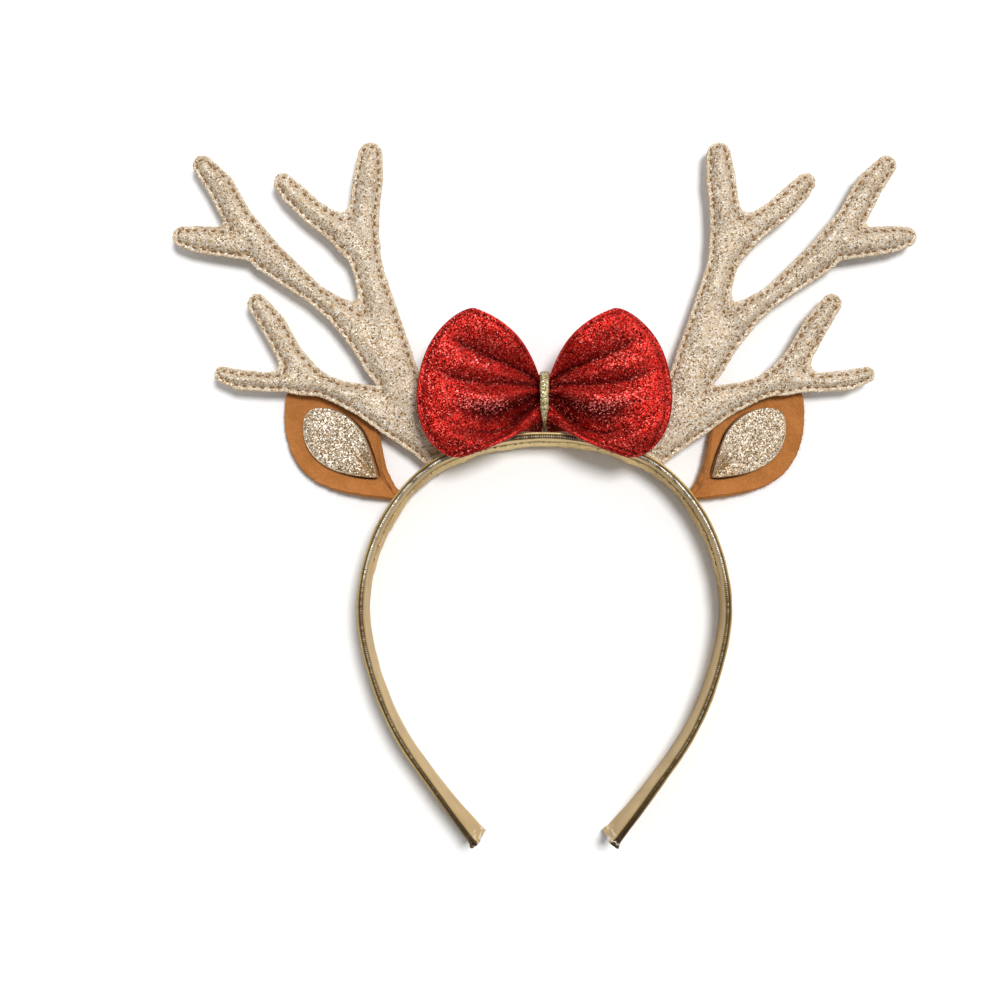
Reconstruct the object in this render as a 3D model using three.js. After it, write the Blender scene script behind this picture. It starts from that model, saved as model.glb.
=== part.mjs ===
import * as THREE from "three";

// Reindeer antler headband, lying on its back. Millimetres.
// +X runs side to side, +Y up towards the antler tips, +Z up from the surface that it lies on.

const GAP = 0.3;
// How far the middle of the whole lies above the middle of the antler and band tables
const MIDDLE_Y = 1.5;

// Band: a flat hoop, open at the bottom
const BAND_DEPTH = 15;
const BAND_THICKNESS = 2.4;
const BAND_FRONT_ROUND = 1;
const BAND_BACK_ROUND = 0.6;
const BAND_STEPS = 54;
// Half of the outer front edge, from the top middle to an end.
// lean is how far the back edge lies inside the front edge.
const BAND_ROWS = [
  { x: 0, y: 21, lean: 1 },
  { x: 19.5, y: 18.5, lean: 1 },
  { x: 37.7, y: 11.3, lean: 0.8 },
  { x: 50.3, y: -1.3, lean: 0.5 },
  { x: 58.5, y: -17.6, lean: 0.4 },
  { x: 61.8, y: -37.1, lean: 0.3 },
  { x: 58.7, y: -56.6, lean: 0.1 },
  { x: 50.3, y: -78, lean: 0.1 },
  { x: 35.9, y: -99.4, lean: 0.4 },
  { x: 23.6, y: -115.9, lean: 2 },
];

// Lining: a strip glued inside the top of the band, thicker where it covers the glued roots
const LINING_THICKNESS = 0.6;
const LINING_BACK = 1.2;
const LINING_FRONT = 9;
const LINING_HALF_LENGTH = 88;
const LINING_STEPS = 44;
const LINING_BULGES = [
  { along: 0, width: 9, height: 0.5 },
  { along: 36, width: 9, height: 0.7 },
  { along: 62, width: 7, height: 0.6 },
];

// Antlers: two layers of cloth over padding, pinched thin where they are sewn near the edge
const ANTLER_ROOT = { x: 35.5, y: 12.3, z: 7.4 };
const ANTLER_DROOP = 1.6;
const ANTLER_REACH = 127;
const ANTLER_EDGE_HALF = 0.8;
const ANTLER_PAD_HALF = 2.3;
const ANTLER_SEAM_INSET = 1.4;
const ANTLER_PAD_RISE = 1.5;
const ANTLER_GRID = 2.7;
const ANTLER_BOX = new THREE.Box2(new THREE.Vector2(24, 4), new THREE.Vector2(130, 123));
const section = (x, y, half) => ({ x, y, half });
// Each tine has sections from its root to its tip, x, y and half width, and the rounding of its crotch.
const ANTLER_TINES = {
  stem: {
    crotch: 0,
    sections: [
      section(35.4, 12.3, 4.2),
      section(41.9, 21.5, 7),
      section(46.6, 31.6, 7.7),
      section(49.3, 41, 6.9),
      section(53.2, 55.7, 5.8),
      section(56.2, 65.9, 5.3),
      section(58.6, 74.2, 4.9),
      section(60.9, 82.6, 5.3),
    ],
  },
  top: {
    crotch: 2.8,
    sections: [
      section(60.7, 84.6, 4.9),
      section(60, 98.5, 4.8),
      section(59, 106.3, 4.8),
      section(58.3, 114.2, 3.9),
    ],
  },
  top_side: {
    crotch: 7,
    sections: [
      section(66.5, 87.2, 4.6),
      section(77.8, 95.2, 4),
      section(84.5, 101.5, 3.8),
      section(87.4, 104.8, 3.1),
    ],
  },
  outer: {
    crotch: 7,
    sections: [
      section(55.3, 45.9, 5.4),
      section(60.8, 52.9, 5),
      section(68.2, 61.2, 4.4),
      section(76.7, 67.3, 3.3),
      section(87.6, 76, 4.7),
      section(93.1, 80.4, 5.4),
      section(102.6, 92.6, 4.7),
      section(108.8, 104, 4.5),
      section(114.4, 110.6, 3.3),
    ],
  },
  outer_side: {
    crotch: 3.5,
    sections: [
      section(101.9, 84.2, 4.9),
      section(110.2, 85.2, 4.7),
      section(116.7, 86, 4.3),
      section(121.1, 86.7, 3.3),
    ],
  },
  lower: {
    crotch: 1.2,
    sections: [
      section(43.4, 22.4, 6.9),
      section(50.3, 27.2, 7.3),
      section(58.9, 31.4, 5.6),
      section(67.7, 34.3, 3.9),
      section(72.8, 36.3, 3.7),
      section(79.4, 39.5, 4.3),
      section(85.5, 47.7, 4.1),
      section(90.7, 57, 4.1),
      section(96, 64.2, 3.2),
    ],
  },
  lower_side: {
    crotch: 6,
    sections: [
      section(81.7, 38.7, 3.8),
      section(92.1, 37.9, 3.1),
      section(102.1, 38.8, 3.3),
      section(107.6, 40.5, 2.6),
    ],
  },
};

// Ears: felt leaves, pinched at the root, the side nearest the bow folded up more than the other
const EAR_ROOT = { x: 48.7, y: -0.3, z: 3.6 };
const EAR_DIRECTION = new THREE.Vector2(0.735, 0.678).normalize();
const EAR_LENGTH = 51.6;
const EAR_TIP_SHARE = 0.985;
const EAR_HALF_WIDTH = { inner: 15.2, outer: 15.6 };
const EAR_TAPER = { inner: 1.25, outer: 0.8 };
const EAR_WIDEST = { inner: 1.35, outer: 1.16 };
const EAR_ROOT_HALF = 1;
const EAR_FELT = 2;
const EAR_LIE_Z = 2.6;
const EAR_STEPS_ALONG = 12;
const EAR_STEPS_ACROSS = 10;
const EAR_FOLD = {
  inner: { angle: 56, fades_at: 0.44 },
  outer: { angle: 22, fades_at: 0.4 },
};

// Inner ears: glitter teardrops laid on the felt, lifting off it at the point
const INNER_EAR_FROM = 0.185;
const INNER_EAR_TO = 0.815;
const INNER_EAR_HALF = { inner: 7.9, outer: 9.6 };
const INNER_EAR_WIDEST = 1.36;
const INNER_EAR_TAPER = 0.57;
const INNER_EAR_CLOTH = 1;
const INNER_EAR_LIFT = 0.7;
const INNER_EAR_STEPS_ALONG = 11;
const INNER_EAR_STEPS_ACROSS = 8;

// Bow: doubled cloth gathered at a narrow neck, with folds that run out from it
const BOW_WALL = 2.2;
const BOW_NECK = { half_length: 1.9, top: 39.8, bottom: 25.6, z: 15.2 };
const BOW_NECK_STEPS = 2;
const BOW_LOBE_STEPS = 11;
const BOW_STEPS_ACROSS = 23;
const BOW_TOP_EDGE = { bend_x: 8, bend_y: 57.6, end_x: 26.9, end_y: 62.1 };
const BOW_BOTTOM_EDGE = { bend_x: 9.9, bend_y: 17.4, end_x: 33.2, end_y: 11 };
const BOW_RIM_BULGE = { reach: 10.9, gather: 1.3 };
const BOW_RIM_FULLNESS = { top: 2.3, bottom: 2.2 };
const BOW_CORNER = { round: 0.13, squareness: 6 };
const BOW_LOBE_LIFT = 7.2;
const BOW_RIM_DROP = { end: 1.8, sides: 1.08 };
// The foot hangs from the bottom edge to just above the band; hem_curve follows the band's own curve.
const BOW_FOOT = { steps: 2, lip: 0.3, hem_y: 21.4, hem_curve: 0.006, slope: 0.8 };
// How much of the foot there is behind the binding, and where it reaches its full length.
const BOW_FOOT_INSIDE = { share: 0.45, from_x: 0.75, to_x: 1.3 };
// across runs from -1 at the bottom edge to 1 at the top edge; above and below are the fold's half widths.
const BOW_FOLDS = [
  { neck: 0.65, middle: 0.44, rim: 0.73, deep_neck: 2.4, deep_rim: 0.5, above: 0.28, below: 0.17 },
  { neck: 0.44, middle: 0.03, rim: 0.24, deep_neck: 2.4, deep_rim: 0.7, above: 0.28, below: 0.17 },
  { neck: -0.29, middle: -0.81, rim: -0.25, deep_neck: 3.2, deep_rim: 0.3, above: 0.45, below: 0.13 },
];
// How much deeper the folds are halfway out
const BOW_FOLD_MIDDLE = 2;

// Binding: a strip round the bow's neck that reaches down to the band
const BINDING_CLOTH = 0.9;
const BINDING_HALF_WIDTH = { top: 1.45, bottom: 0.6 };
const BINDING_MIDDLE = { y: 31.2, z: 13.9 };
const BINDING_HALF = { y: 9.4, z: 5.4 };
const BINDING_SQUARENESS = { low_front: 1.6, rest: 2.8 };
const BINDING_STEPS = 30;

const lerp = THREE.MathUtils.lerp;
const clamp = THREE.MathUtils.clamp;
const smooth = (value, from, to) => THREE.MathUtils.smoothstep(value, from, to);
const bell = (value) => Math.exp(-value * value);

// A closed body from points and triangles, with its faces turned outward
function body(points, triangles) {
  let volume = 0;
  for (const [a, b, c] of triangles) {
    volume += points[a].dot(new THREE.Vector3().crossVectors(points[b], points[c]));
  }
  const outward = volume > 0 ? triangles : triangles.map(([a, b, c]) => [a, c, b]);
  const geometry = new THREE.BufferGeometry();
  const numbers = points.flatMap((point) => point.toArray());
  geometry.setAttribute("position", new THREE.Float32BufferAttribute(numbers, 3));
  geometry.setIndex(outward.flat());
  geometry.computeVertexNormals();
  return geometry;
}

// A skin through equal rings of points, closed by flat ends or joined into a loop
function loft(rings, looped = false) {
  const size = rings[0].length;
  const triangles = [];
  const spans = looped ? rings.length : rings.length - 1;
  for (let i = 0; i < spans; i++) {
    const a = i * size;
    const b = ((i + 1) % rings.length) * size;
    for (let j = 0; j < size; j++) {
      const k = (j + 1) % size;
      triangles.push([a + j, b + j, b + k], [a + j, b + k, a + k]);
    }
  }
  if (!looped) {
    const end = (rings.length - 1) * size;
    for (let j = 0; j < size / 2 - 1; j++) {
      const far = size - 1 - j;
      triangles.push([j, j + 1, far - 1], [j, far - 1, far]);
      triangles.push([end + j, end + far - 1, end + j + 1], [end + j, end + far, end + far - 1]);
    }
  }
  return body(rings.flat(), triangles);
}

// Cloth with a front and a back: each row of points goes out along the front and home along the back
function cloth(rows) {
  return loft(rows.map(({ front, back }) => [...front, ...[...back].reverse()]));
}

// The band's outer front edge; the curve's third coordinate carries the lean
const halfEdge = BAND_ROWS.map((row) => new THREE.Vector3(row.x, row.y, row.lean));
const mirroredEdge = halfEdge.slice(1).map((point) => new THREE.Vector3(-point.x, point.y, point.z));
const wholeEdge = [...mirroredEdge.reverse(), ...halfEdge];
const bandCurve = new THREE.CatmullRomCurve3(wholeEdge, false, "centripetal");
bandCurve.arcLengthDivisions = 2000;
const bandLength = bandCurve.getLength();

// A place on the band: a share of its length, a distance in from the outer face, and a height
function bandPoint(share, inward, z) {
  const edge = bandCurve.getPointAt(share);
  const way = bandCurve.getTangentAt(share);
  const normal = new THREE.Vector2(way.y, -way.x).normalize();
  const offset = inward + edge.z * (1 - z / BAND_DEPTH);
  return new THREE.Vector3(edge.x + normal.x * offset, edge.y + normal.y * offset, z);
}

function bandSection() {
  const corner = Math.SQRT1_2;
  const round = BAND_FRONT_ROUND;
  const front = BAND_DEPTH;
  const inner = BAND_THICKNESS;
  const back = BAND_BACK_ROUND;
  return [
    [0, back],
    [0, front - round],
    [round * (1 - corner), front - round * (1 - corner)],
    [round, front],
    [inner - round, front],
    [inner - round * (1 - corner), front - round * (1 - corner)],
    [inner, front - round],
    [inner, back],
    [inner - back, 0],
    [back, 0],
  ];
}

function bandGeometry() {
  const rings = [];
  for (let i = 0; i <= BAND_STEPS; i++) {
    rings.push(bandSection().map(([inward, z]) => bandPoint(i / BAND_STEPS, inward, z)));
  }
  return loft(rings);
}

function liningGeometry() {
  const rings = [];
  const outer = BAND_THICKNESS + GAP;
  for (let i = 0; i <= LINING_STEPS; i++) {
    const along = lerp(-LINING_HALF_LENGTH, LINING_HALF_LENGTH, i / LINING_STEPS);
    let thick = LINING_THICKNESS;
    for (const bulge of LINING_BULGES) {
      thick += bulge.height * bell((Math.abs(along) - bulge.along) / bulge.width);
    }
    const share = 0.5 + along / bandLength;
    const round = LINING_THICKNESS / 2;
    rings.push([
      bandPoint(share, outer, LINING_BACK),
      bandPoint(share, outer, LINING_FRONT),
      bandPoint(share, outer + round, LINING_FRONT),
      bandPoint(share, outer + thick, LINING_FRONT - thick),
      bandPoint(share, outer + thick, LINING_BACK + thick),
      bandPoint(share, outer + round, LINING_BACK),
    ]);
  }
  return loft(rings);
}

// How far a place is inside a closed line of points, negative outside
function depthInLine(line, x, y) {
  let nearest = Infinity;
  let inside = false;
  for (let i = 0; i < line.length; i++) {
    const a = line[i];
    const b = line[(i + 1) % line.length];
    const dx = b.x - a.x;
    const dy = b.y - a.y;
    const t = clamp(((x - a.x) * dx + (y - a.y) * dy) / (dx * dx + dy * dy), 0, 1);
    nearest = Math.min(nearest, Math.hypot(x - a.x - t * dx, y - a.y - t * dy));
    if (a.y > y !== b.y > y && x < a.x + ((y - a.y) / dy) * dx) {
      inside = !inside;
    }
  }
  return inside ? nearest : -nearest;
}

// How far a place is inside a row of round sections joined by straight sides
function depthInTine(rows, x, y) {
  let deepest = -Infinity;
  for (let i = 0; i + 1 < rows.length; i++) {
    const a = rows[i];
    const b = rows[i + 1];
    const dx = b.x - a.x;
    const dy = b.y - a.y;
    const t = clamp(((x - a.x) * dx + (y - a.y) * dy) / (dx * dx + dy * dy), 0, 1);
    const away = Math.hypot(x - a.x - t * dx, y - a.y - t * dy);
    deepest = Math.max(deepest, lerp(a.half, b.half, t) - away);
  }
  return deepest;
}

// The larger of two depths, rounded over where they are alike, as a crotch is
function roundedLarger(a, b, round) {
  const share = Math.max(round - Math.abs(a - b), 0) / round;
  return Math.max(a, b) + (share * share * round) / 4;
}

const bandAtAntler = [];
for (let i = 0; i <= BAND_STEPS * 2; i++) {
  bandAtAntler.push(bandPoint(i / (BAND_STEPS * 2), -GAP, ANTLER_ROOT.z + ANTLER_PAD_HALF));
}

function antlerDepth(x, y) {
  let depth = -Infinity;
  for (const { crotch, sections } of Object.values(ANTLER_TINES)) {
    const tine = depthInTine(sections, x, y);
    depth = depth === -Infinity ? tine : roundedLarger(depth, tine, crotch);
  }
  return Math.min(depth, -depthInLine(bandAtAntler, x, y));
}

function antlerHalf(depth) {
  const inside = Math.max(depth - ANTLER_SEAM_INSET, 0);
  return lerp(ANTLER_PAD_HALF, ANTLER_EDGE_HALF, Math.exp(-inside / ANTLER_PAD_RISE));
}

function antlerMiddle(x, y) {
  const reach = Math.hypot(x - ANTLER_ROOT.x, y - ANTLER_ROOT.y) / ANTLER_REACH;
  return ANTLER_ROOT.z - ANTLER_DROOP * reach * reach;
}

// A flat grid trimmed to where depth is positive; grid points near the outline move onto it
function trimmedGrid(depth, box, step) {
  const columns = Math.ceil((box.max.x - box.min.x) / step);
  const rows = Math.ceil((box.max.y - box.min.y) / step);
  const places = [];
  const probe = 0.05;
  const slope = (x, y) => [
    (depth(x + probe, y) - depth(x - probe, y)) / (2 * probe),
    (depth(x, y + probe) - depth(x, y - probe)) / (2 * probe),
  ];
  const add = (x, y, inside) => places.push({ x, y, inside }) - 1;
  for (let j = 0; j <= rows; j++) {
    for (let i = 0; i <= columns; i++) {
      let x = box.min.x + i * step;
      let y = box.min.y + j * step;
      let inside = depth(x, y);
      if (Math.abs(inside) < step * 0.34) {
        for (let turn = 0; turn < 4; turn++) {
          const [sx, sy] = slope(x, y);
          const steep = Math.max(sx * sx + sy * sy, 0.2);
          x -= (depth(x, y) * sx) / steep;
          y -= (depth(x, y) * sy) / steep;
        }
        inside = 0;
      }
      add(x, y, inside);
    }
  }
  const crossings = new Map();
  const crossing = (a, b) => {
    const key = a < b ? `${a} ${b}` : `${b} ${a}`;
    if (!crossings.has(key)) {
      let low = places[a];
      let high = places[b];
      for (let turn = 0; turn < 14; turn++) {
        const x = (low.x + high.x) / 2;
        const y = (low.y + high.y) / 2;
        const middle = { x, y, inside: depth(x, y) };
        if (middle.inside > 0 === low.inside > 0) {
          low = middle;
        } else {
          high = middle;
        }
      }
      crossings.set(key, add(low.x, low.y, 0));
    }
    return crossings.get(key);
  };
  const triangles = [];
  const keep = (corners) => {
    const kept = [];
    for (let k = 0; k < 3; k++) {
      const here = corners[k];
      const next = corners[(k + 1) % 3];
      if (places[here].inside >= 0) {
        kept.push(here);
      }
      if (places[here].inside * places[next].inside < 0) {
        kept.push(crossing(here, next));
      }
    }
    const middleX = kept.reduce((sum, k) => sum + places[k].x, 0) / kept.length;
    const middleY = kept.reduce((sum, k) => sum + places[k].y, 0) / kept.length;
    if (kept.length < 3 || depth(middleX, middleY) <= 0) {
      return;
    }
    for (let k = 1; k + 1 < kept.length; k++) {
      triangles.push([kept[0], kept[k], kept[k + 1]]);
    }
  };
  for (let j = 0; j < rows; j++) {
    for (let i = 0; i < columns; i++) {
      const a = j * (columns + 1) + i;
      const b = a + 1;
      const c = a + columns + 1;
      const d = c + 1;
      if ((i + j) % 2) {
        keep([a, b, c]);
        keep([b, d, c]);
      } else {
        keep([a, b, d]);
        keep([a, d, c]);
      }
    }
  }
  return { places, triangles };
}

// A pad: the trimmed grid as a front and a back, joined round the outline
function pad(depth, middle, half, box, step) {
  const { places, triangles } = trimmedGrid(depth, box, step);
  const used = [...new Set(triangles.flat())];
  const place = new Map(used.map((old, index) => [old, index]));
  const points = [];
  for (const side of [1, -1]) {
    for (const old of used) {
      const { x, y, inside } = places[old];
      points.push(new THREE.Vector3(x, y, middle(x, y) + side * half(inside)));
    }
  }
  const front = triangles.map((corners) => corners.map((old) => place.get(old)));
  const back = used.length;
  const faces = [];
  const sides = new Set(front.flatMap(([a, b, c]) => [`${a} ${b}`, `${b} ${c}`, `${c} ${a}`]));
  for (const [a, b, c] of front) {
    faces.push([a, b, c], [back + a, back + c, back + b]);
    for (const [from, to] of [[a, b], [b, c], [c, a]]) {
      if (!sides.has(`${to} ${from}`)) {
        faces.push([to, from, back + from], [to, back + from, back + to]);
      }
    }
  }
  return body(points, faces);
}

function antlerGeometry() {
  return pad(antlerDepth, antlerMiddle, antlerHalf, ANTLER_BOX, ANTLER_GRID);
}

// The ear's half width along its length, as a leaf, on the side towards the bow or the other
function earHalf(share, side) {
  const leaf = Math.sin(Math.PI * share ** EAR_WIDEST[side]) ** EAR_TAPER[side];
  return EAR_ROOT_HALF * (1 - share) ** 6 + EAR_HALF_WIDTH[side] * leaf;
}

// A place on the middle of the felt: a share of the length, and a distance across, plus towards the bow
function earPoint(share, across) {
  const side = across > 0 ? "inner" : "outer";
  const half = earHalf(share, side);
  const fold = EAR_FOLD[side];
  const angle = THREE.MathUtils.degToRad(fold.angle) * Math.max(1 - share / fold.fades_at, 0);
  const outward = Math.min(Math.abs(across) / half, 1);
  const sideways = across * (1 - (1 - Math.cos(angle)) * outward);
  const raised = half * Math.sin(angle) * outward ** 1.5;
  const along = share * EAR_LENGTH;
  return new THREE.Vector3(
    EAR_ROOT.x + EAR_DIRECTION.x * along - EAR_DIRECTION.y * sideways,
    EAR_ROOT.y + EAR_DIRECTION.y * along + EAR_DIRECTION.x * sideways,
    lerp(EAR_ROOT.z, EAR_LIE_Z, smooth(share, 0, 0.3)) + raised,
  );
}

function earNormal(share, across) {
  const along = earPoint(share + 0.01, across).sub(earPoint(share - 0.01, across));
  const sideways = earPoint(share, across + 0.1).sub(earPoint(share, across - 0.1));
  return along.cross(sideways).normalize();
}

function earGeometry() {
  const rows = [];
  for (let i = 0; i <= EAR_STEPS_ALONG; i++) {
    const share = lerp(0.02, EAR_TIP_SHARE, i / EAR_STEPS_ALONG);
    const row = { front: [], back: [] };
    for (let j = 0; j <= EAR_STEPS_ACROSS; j++) {
      const across = lerp(-earHalf(share, "outer"), earHalf(share, "inner"), j / EAR_STEPS_ACROSS);
      const point = earPoint(share, across);
      const normal = earNormal(share, across * 0.98);
      row.front.push(point.clone().addScaledVector(normal, EAR_FELT / 2));
      row.back.push(point.clone().addScaledVector(normal, -EAR_FELT / 2));
    }
    rows.push(row);
  }
  return cloth(rows);
}

function innerEarGeometry() {
  const rows = [];
  for (let i = 0; i <= INNER_EAR_STEPS_ALONG; i++) {
    const part = lerp(0.03, 0.985, i / INNER_EAR_STEPS_ALONG);
    const share = lerp(INNER_EAR_FROM, INNER_EAR_TO, part);
    const drop = Math.sin(Math.PI * part ** INNER_EAR_WIDEST) ** INNER_EAR_TAPER;
    const lift = INNER_EAR_LIFT * (1 - part) ** 3;
    const row = { front: [], back: [] };
    for (let j = 0; j <= INNER_EAR_STEPS_ACROSS; j++) {
      const across = lerp(-INNER_EAR_HALF.outer, INNER_EAR_HALF.inner, j / INNER_EAR_STEPS_ACROSS) * drop;
      const point = earPoint(share, across);
      const normal = earNormal(share, across);
      const under = EAR_FELT / 2 + GAP + lift;
      row.front.push(point.clone().addScaledVector(normal, under + INNER_EAR_CLOTH));
      row.back.push(point.clone().addScaledVector(normal, under));
    }
    rows.push(row);
  }
  return cloth(rows);
}

// An edge of a bow lobe, bending out from the neck
function bowEdge(neckY, edge, out) {
  const start = new THREE.Vector2(BOW_NECK.half_length, neckY);
  const bend = new THREE.Vector2(edge.bend_x, edge.bend_y);
  const end = new THREE.Vector2(edge.end_x, edge.end_y);
  return new THREE.QuadraticBezierCurve(start, bend, end).getPoint(out);
}

// A place on the bow's middle: out from the neck to the rim, and across from the bottom edge to the top
function bowPoint(share, across) {
  const level = clamp(across, -1, 1);
  const corner = 1 - Math.sqrt(1 - Math.abs(level) ** BOW_CORNER.squareness);
  const out = share * (1 - BOW_CORNER.round * corner * share ** 3);
  const top = bowEdge(BOW_NECK.top, BOW_TOP_EDGE, out);
  const bottom = bowEdge(BOW_NECK.bottom, BOW_BOTTOM_EDGE, out);
  const place = bottom.clone().lerp(top, (level + 1) / 2);
  const fullness = level > 0 ? BOW_RIM_FULLNESS.top : BOW_RIM_FULLNESS.bottom;
  place.x += BOW_RIM_BULGE.reach * out ** BOW_RIM_BULGE.gather * (1 - Math.abs(level) ** fullness);
  let z = BOW_NECK.z + BOW_LOBE_LIFT * smooth(out, 0, 0.5);
  z -= BOW_RIM_DROP.end * out ** 6 + BOW_RIM_DROP.sides * level ** 4;
  for (const { neck, middle, rim, deep_neck, deep_rim, above, below } of BOW_FOLDS) {
    const at = neck * (1 - out) * (1 - 2 * out) + 4 * middle * out * (1 - out) + rim * out * (2 * out - 1);
    const deep = lerp(deep_neck, deep_rim, out) * (1 + BOW_FOLD_MIDDLE * Math.sin(Math.PI * out) ** 2);
    z -= deep * bell((level - at) / (level > at ? above : below));
  }
  return new THREE.Vector3(place.x, place.y, z);
}

// The foot: a place on the bottom edge moved down towards the band, under runs from 0 to 1
function footPoint(edge, under) {
  const hem = BOW_FOOT.hem_y - BOW_FOOT.hem_curve * edge.x ** 2;
  const beside = smooth(edge.x, BOW_FOOT_INSIDE.from_x, BOW_FOOT_INSIDE.to_x);
  const drop = lerp(BOW_FOOT_INSIDE.share, 1, beside) * Math.max(edge.y - BOW_FOOT.lip - hem, 0);
  const y = edge.y - under * (BOW_FOOT.lip + drop);
  return new THREE.Vector3(edge.x, y, edge.z - under * drop * BOW_FOOT.slope);
}

function bowRow(out, side, x) {
  const placed = (across) => {
    const point = bowPoint(out, across);
    return point.setX(x ?? point.x);
  };
  const points = [];
  for (let j = BOW_FOOT.steps; j > 0; j--) {
    points.push(footPoint(placed(-1), j / BOW_FOOT.steps));
  }
  for (let j = 0; j <= BOW_STEPS_ACROSS; j++) {
    points.push(placed(Math.sin((Math.PI / 2) * lerp(-1, 1, j / BOW_STEPS_ACROSS))));
  }
  const front = points.map((point) => new THREE.Vector3(side * point.x, point.y, point.z + BOW_WALL / 2));
  const back = points.map((point) => new THREE.Vector3(side * point.x, point.y, point.z - BOW_WALL / 2));
  return { front, back };
}

function bowGeometry() {
  const half = [];
  for (let i = 1; i <= BOW_NECK_STEPS; i++) {
    half.push({ out: 0, x: (BOW_NECK.half_length * i) / BOW_NECK_STEPS });
  }
  for (let i = 1; i <= BOW_LOBE_STEPS; i++) {
    half.push({ out: i / BOW_LOBE_STEPS });
  }
  const rows = [
    ...[...half].reverse().map(({ out, x }) => bowRow(out, -1, x)),
    bowRow(0, 1, 0),
    ...half.map(({ out, x }) => bowRow(out, 1, x)),
  ];
  return cloth(rows);
}

function bindingGeometry() {
  const rings = [];
  const squared = (value, squareness) => Math.sign(value) * Math.abs(value) ** (2 / squareness);
  for (let i = 0; i < BINDING_STEPS; i++) {
    const turn = (2 * Math.PI * i) / BINDING_STEPS;
    const lowFront = Math.cos(turn) < 0 && Math.sin(turn) > 0;
    const squareness = lowFront ? BINDING_SQUARENESS.low_front : BINDING_SQUARENESS.rest;
    const high = squared(Math.cos(turn), squareness);
    const deep = squared(Math.sin(turn), squareness);
    const wide = lerp(BINDING_HALF_WIDTH.bottom, BINDING_HALF_WIDTH.top, smooth(high, -0.8, -0.2));
    const ring = [];
    for (const [x, out] of [[-1, 0], [-1, 1], [1, 1], [1, 0]]) {
      const y = BINDING_MIDDLE.y + (BINDING_HALF.y - BINDING_CLOTH / 2 + BINDING_CLOTH * out) * high;
      const reach = BINDING_HALF.z - BINDING_CLOTH / 2 + BINDING_CLOTH * out;
      ring.push(new THREE.Vector3(x * wide, y, BINDING_MIDDLE.z + reach * deep));
    }
    rings.push(ring);
  }
  return loft(rings, true);
}

const gold = new THREE.MeshStandardMaterial({ color: 0xb99a63, roughness: 0.35, metalness: 0.8 });
const lining = new THREE.MeshStandardMaterial({ color: 0xae9160, roughness: 0.45, metalness: 0.7 });
const antlerGlitter = new THREE.MeshStandardMaterial({ color: 0xc5b59f, roughness: 0.5, metalness: 0.4 });
const earGlitter = new THREE.MeshStandardMaterial({ color: 0xc8b89e, roughness: 0.4, metalness: 0.5 });
const felt = new THREE.MeshStandardMaterial({ color: 0xb5743c, roughness: 0.95, metalness: 0 });
const redGlitter = new THREE.MeshStandardMaterial({ color: 0xb8281f, roughness: 0.5, metalness: 0.3 });
const bindingGlitter = new THREE.MeshStandardMaterial({ color: 0xb3a172, roughness: 0.45, metalness: 0.5 });

const headband = new THREE.Group();
headband.position.y = -MIDDLE_Y;
const add = (parent, name, geometry, material) => {
  const mesh = new THREE.Mesh(geometry, material);
  mesh.name = name;
  parent.add(mesh);
};

add(headband, "band", bandGeometry(), gold);
add(headband, "band_lining", liningGeometry(), lining);
add(headband, "bow", bowGeometry(), redGlitter);
add(headband, "bow_binding", bindingGeometry(), bindingGlitter);

const antler = antlerGeometry();
const ear = earGeometry();
const innerEar = innerEarGeometry();
for (const [side, mirrored] of [["right", 1], ["left", -1]]) {
  const half = new THREE.Group();
  half.scale.x = mirrored;
  add(half, `antler_${side}`, antler, antlerGlitter);
  add(half, `ear_${side}`, ear, felt);
  add(half, `inner_ear_${side}`, innerEar, earGlitter);
  headband.add(half);
}

export default headband;
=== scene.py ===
# A reindeer antler headband lying on its back, seen from straight above.
# Tables are millimetres in the part's own axes: +X across, +Y up to the tips, +Z off the floor.
# Only the camera's clip and the floor are in metres.
import math

import bpy
import numpy as np
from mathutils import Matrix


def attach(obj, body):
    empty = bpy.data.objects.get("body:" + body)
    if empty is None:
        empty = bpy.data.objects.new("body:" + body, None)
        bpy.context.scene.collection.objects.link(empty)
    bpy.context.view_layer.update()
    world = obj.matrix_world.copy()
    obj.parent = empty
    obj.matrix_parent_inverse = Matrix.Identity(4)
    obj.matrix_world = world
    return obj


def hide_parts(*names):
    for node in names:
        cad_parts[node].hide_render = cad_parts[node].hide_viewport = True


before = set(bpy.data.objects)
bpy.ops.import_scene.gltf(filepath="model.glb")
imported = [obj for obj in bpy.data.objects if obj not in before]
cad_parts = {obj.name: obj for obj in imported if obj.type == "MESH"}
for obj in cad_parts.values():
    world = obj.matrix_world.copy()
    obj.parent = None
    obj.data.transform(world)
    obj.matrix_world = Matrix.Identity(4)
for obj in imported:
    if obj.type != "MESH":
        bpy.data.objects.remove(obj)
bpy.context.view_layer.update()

MM = 0.001
GAP = 0.3
# The tables' origin lies this far above the frame's
MIDDLE_Y = 1.5

# Camera: straight above, the object a little right of the middle of the picture
CAMERA_HEIGHT = 456
CAMERA_Y = -2.85
CAMERA_LENS = 48.34
CAMERA_SENSOR = 36
CAMERA_SHIFT_X = -0.0445
CAMERA_CLIP = (0.01, 20)

# Light: a soft key from the upper right, degrees from overhead and round from +X, and a pale room
KEY_TILT = 21
KEY_TURN = 46
KEY_SPREAD = 16
KEY_STRENGTH = 2.4
# The room is brighter towards +Y
ROOM_STRENGTH = {"low": 0.09, "high": 0.69}
FLOOR = {"half_side": 3.0, "z": -0.00003}
FLOOR_WHITE = (0.99, 0.99, 0.99, 1)

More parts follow.
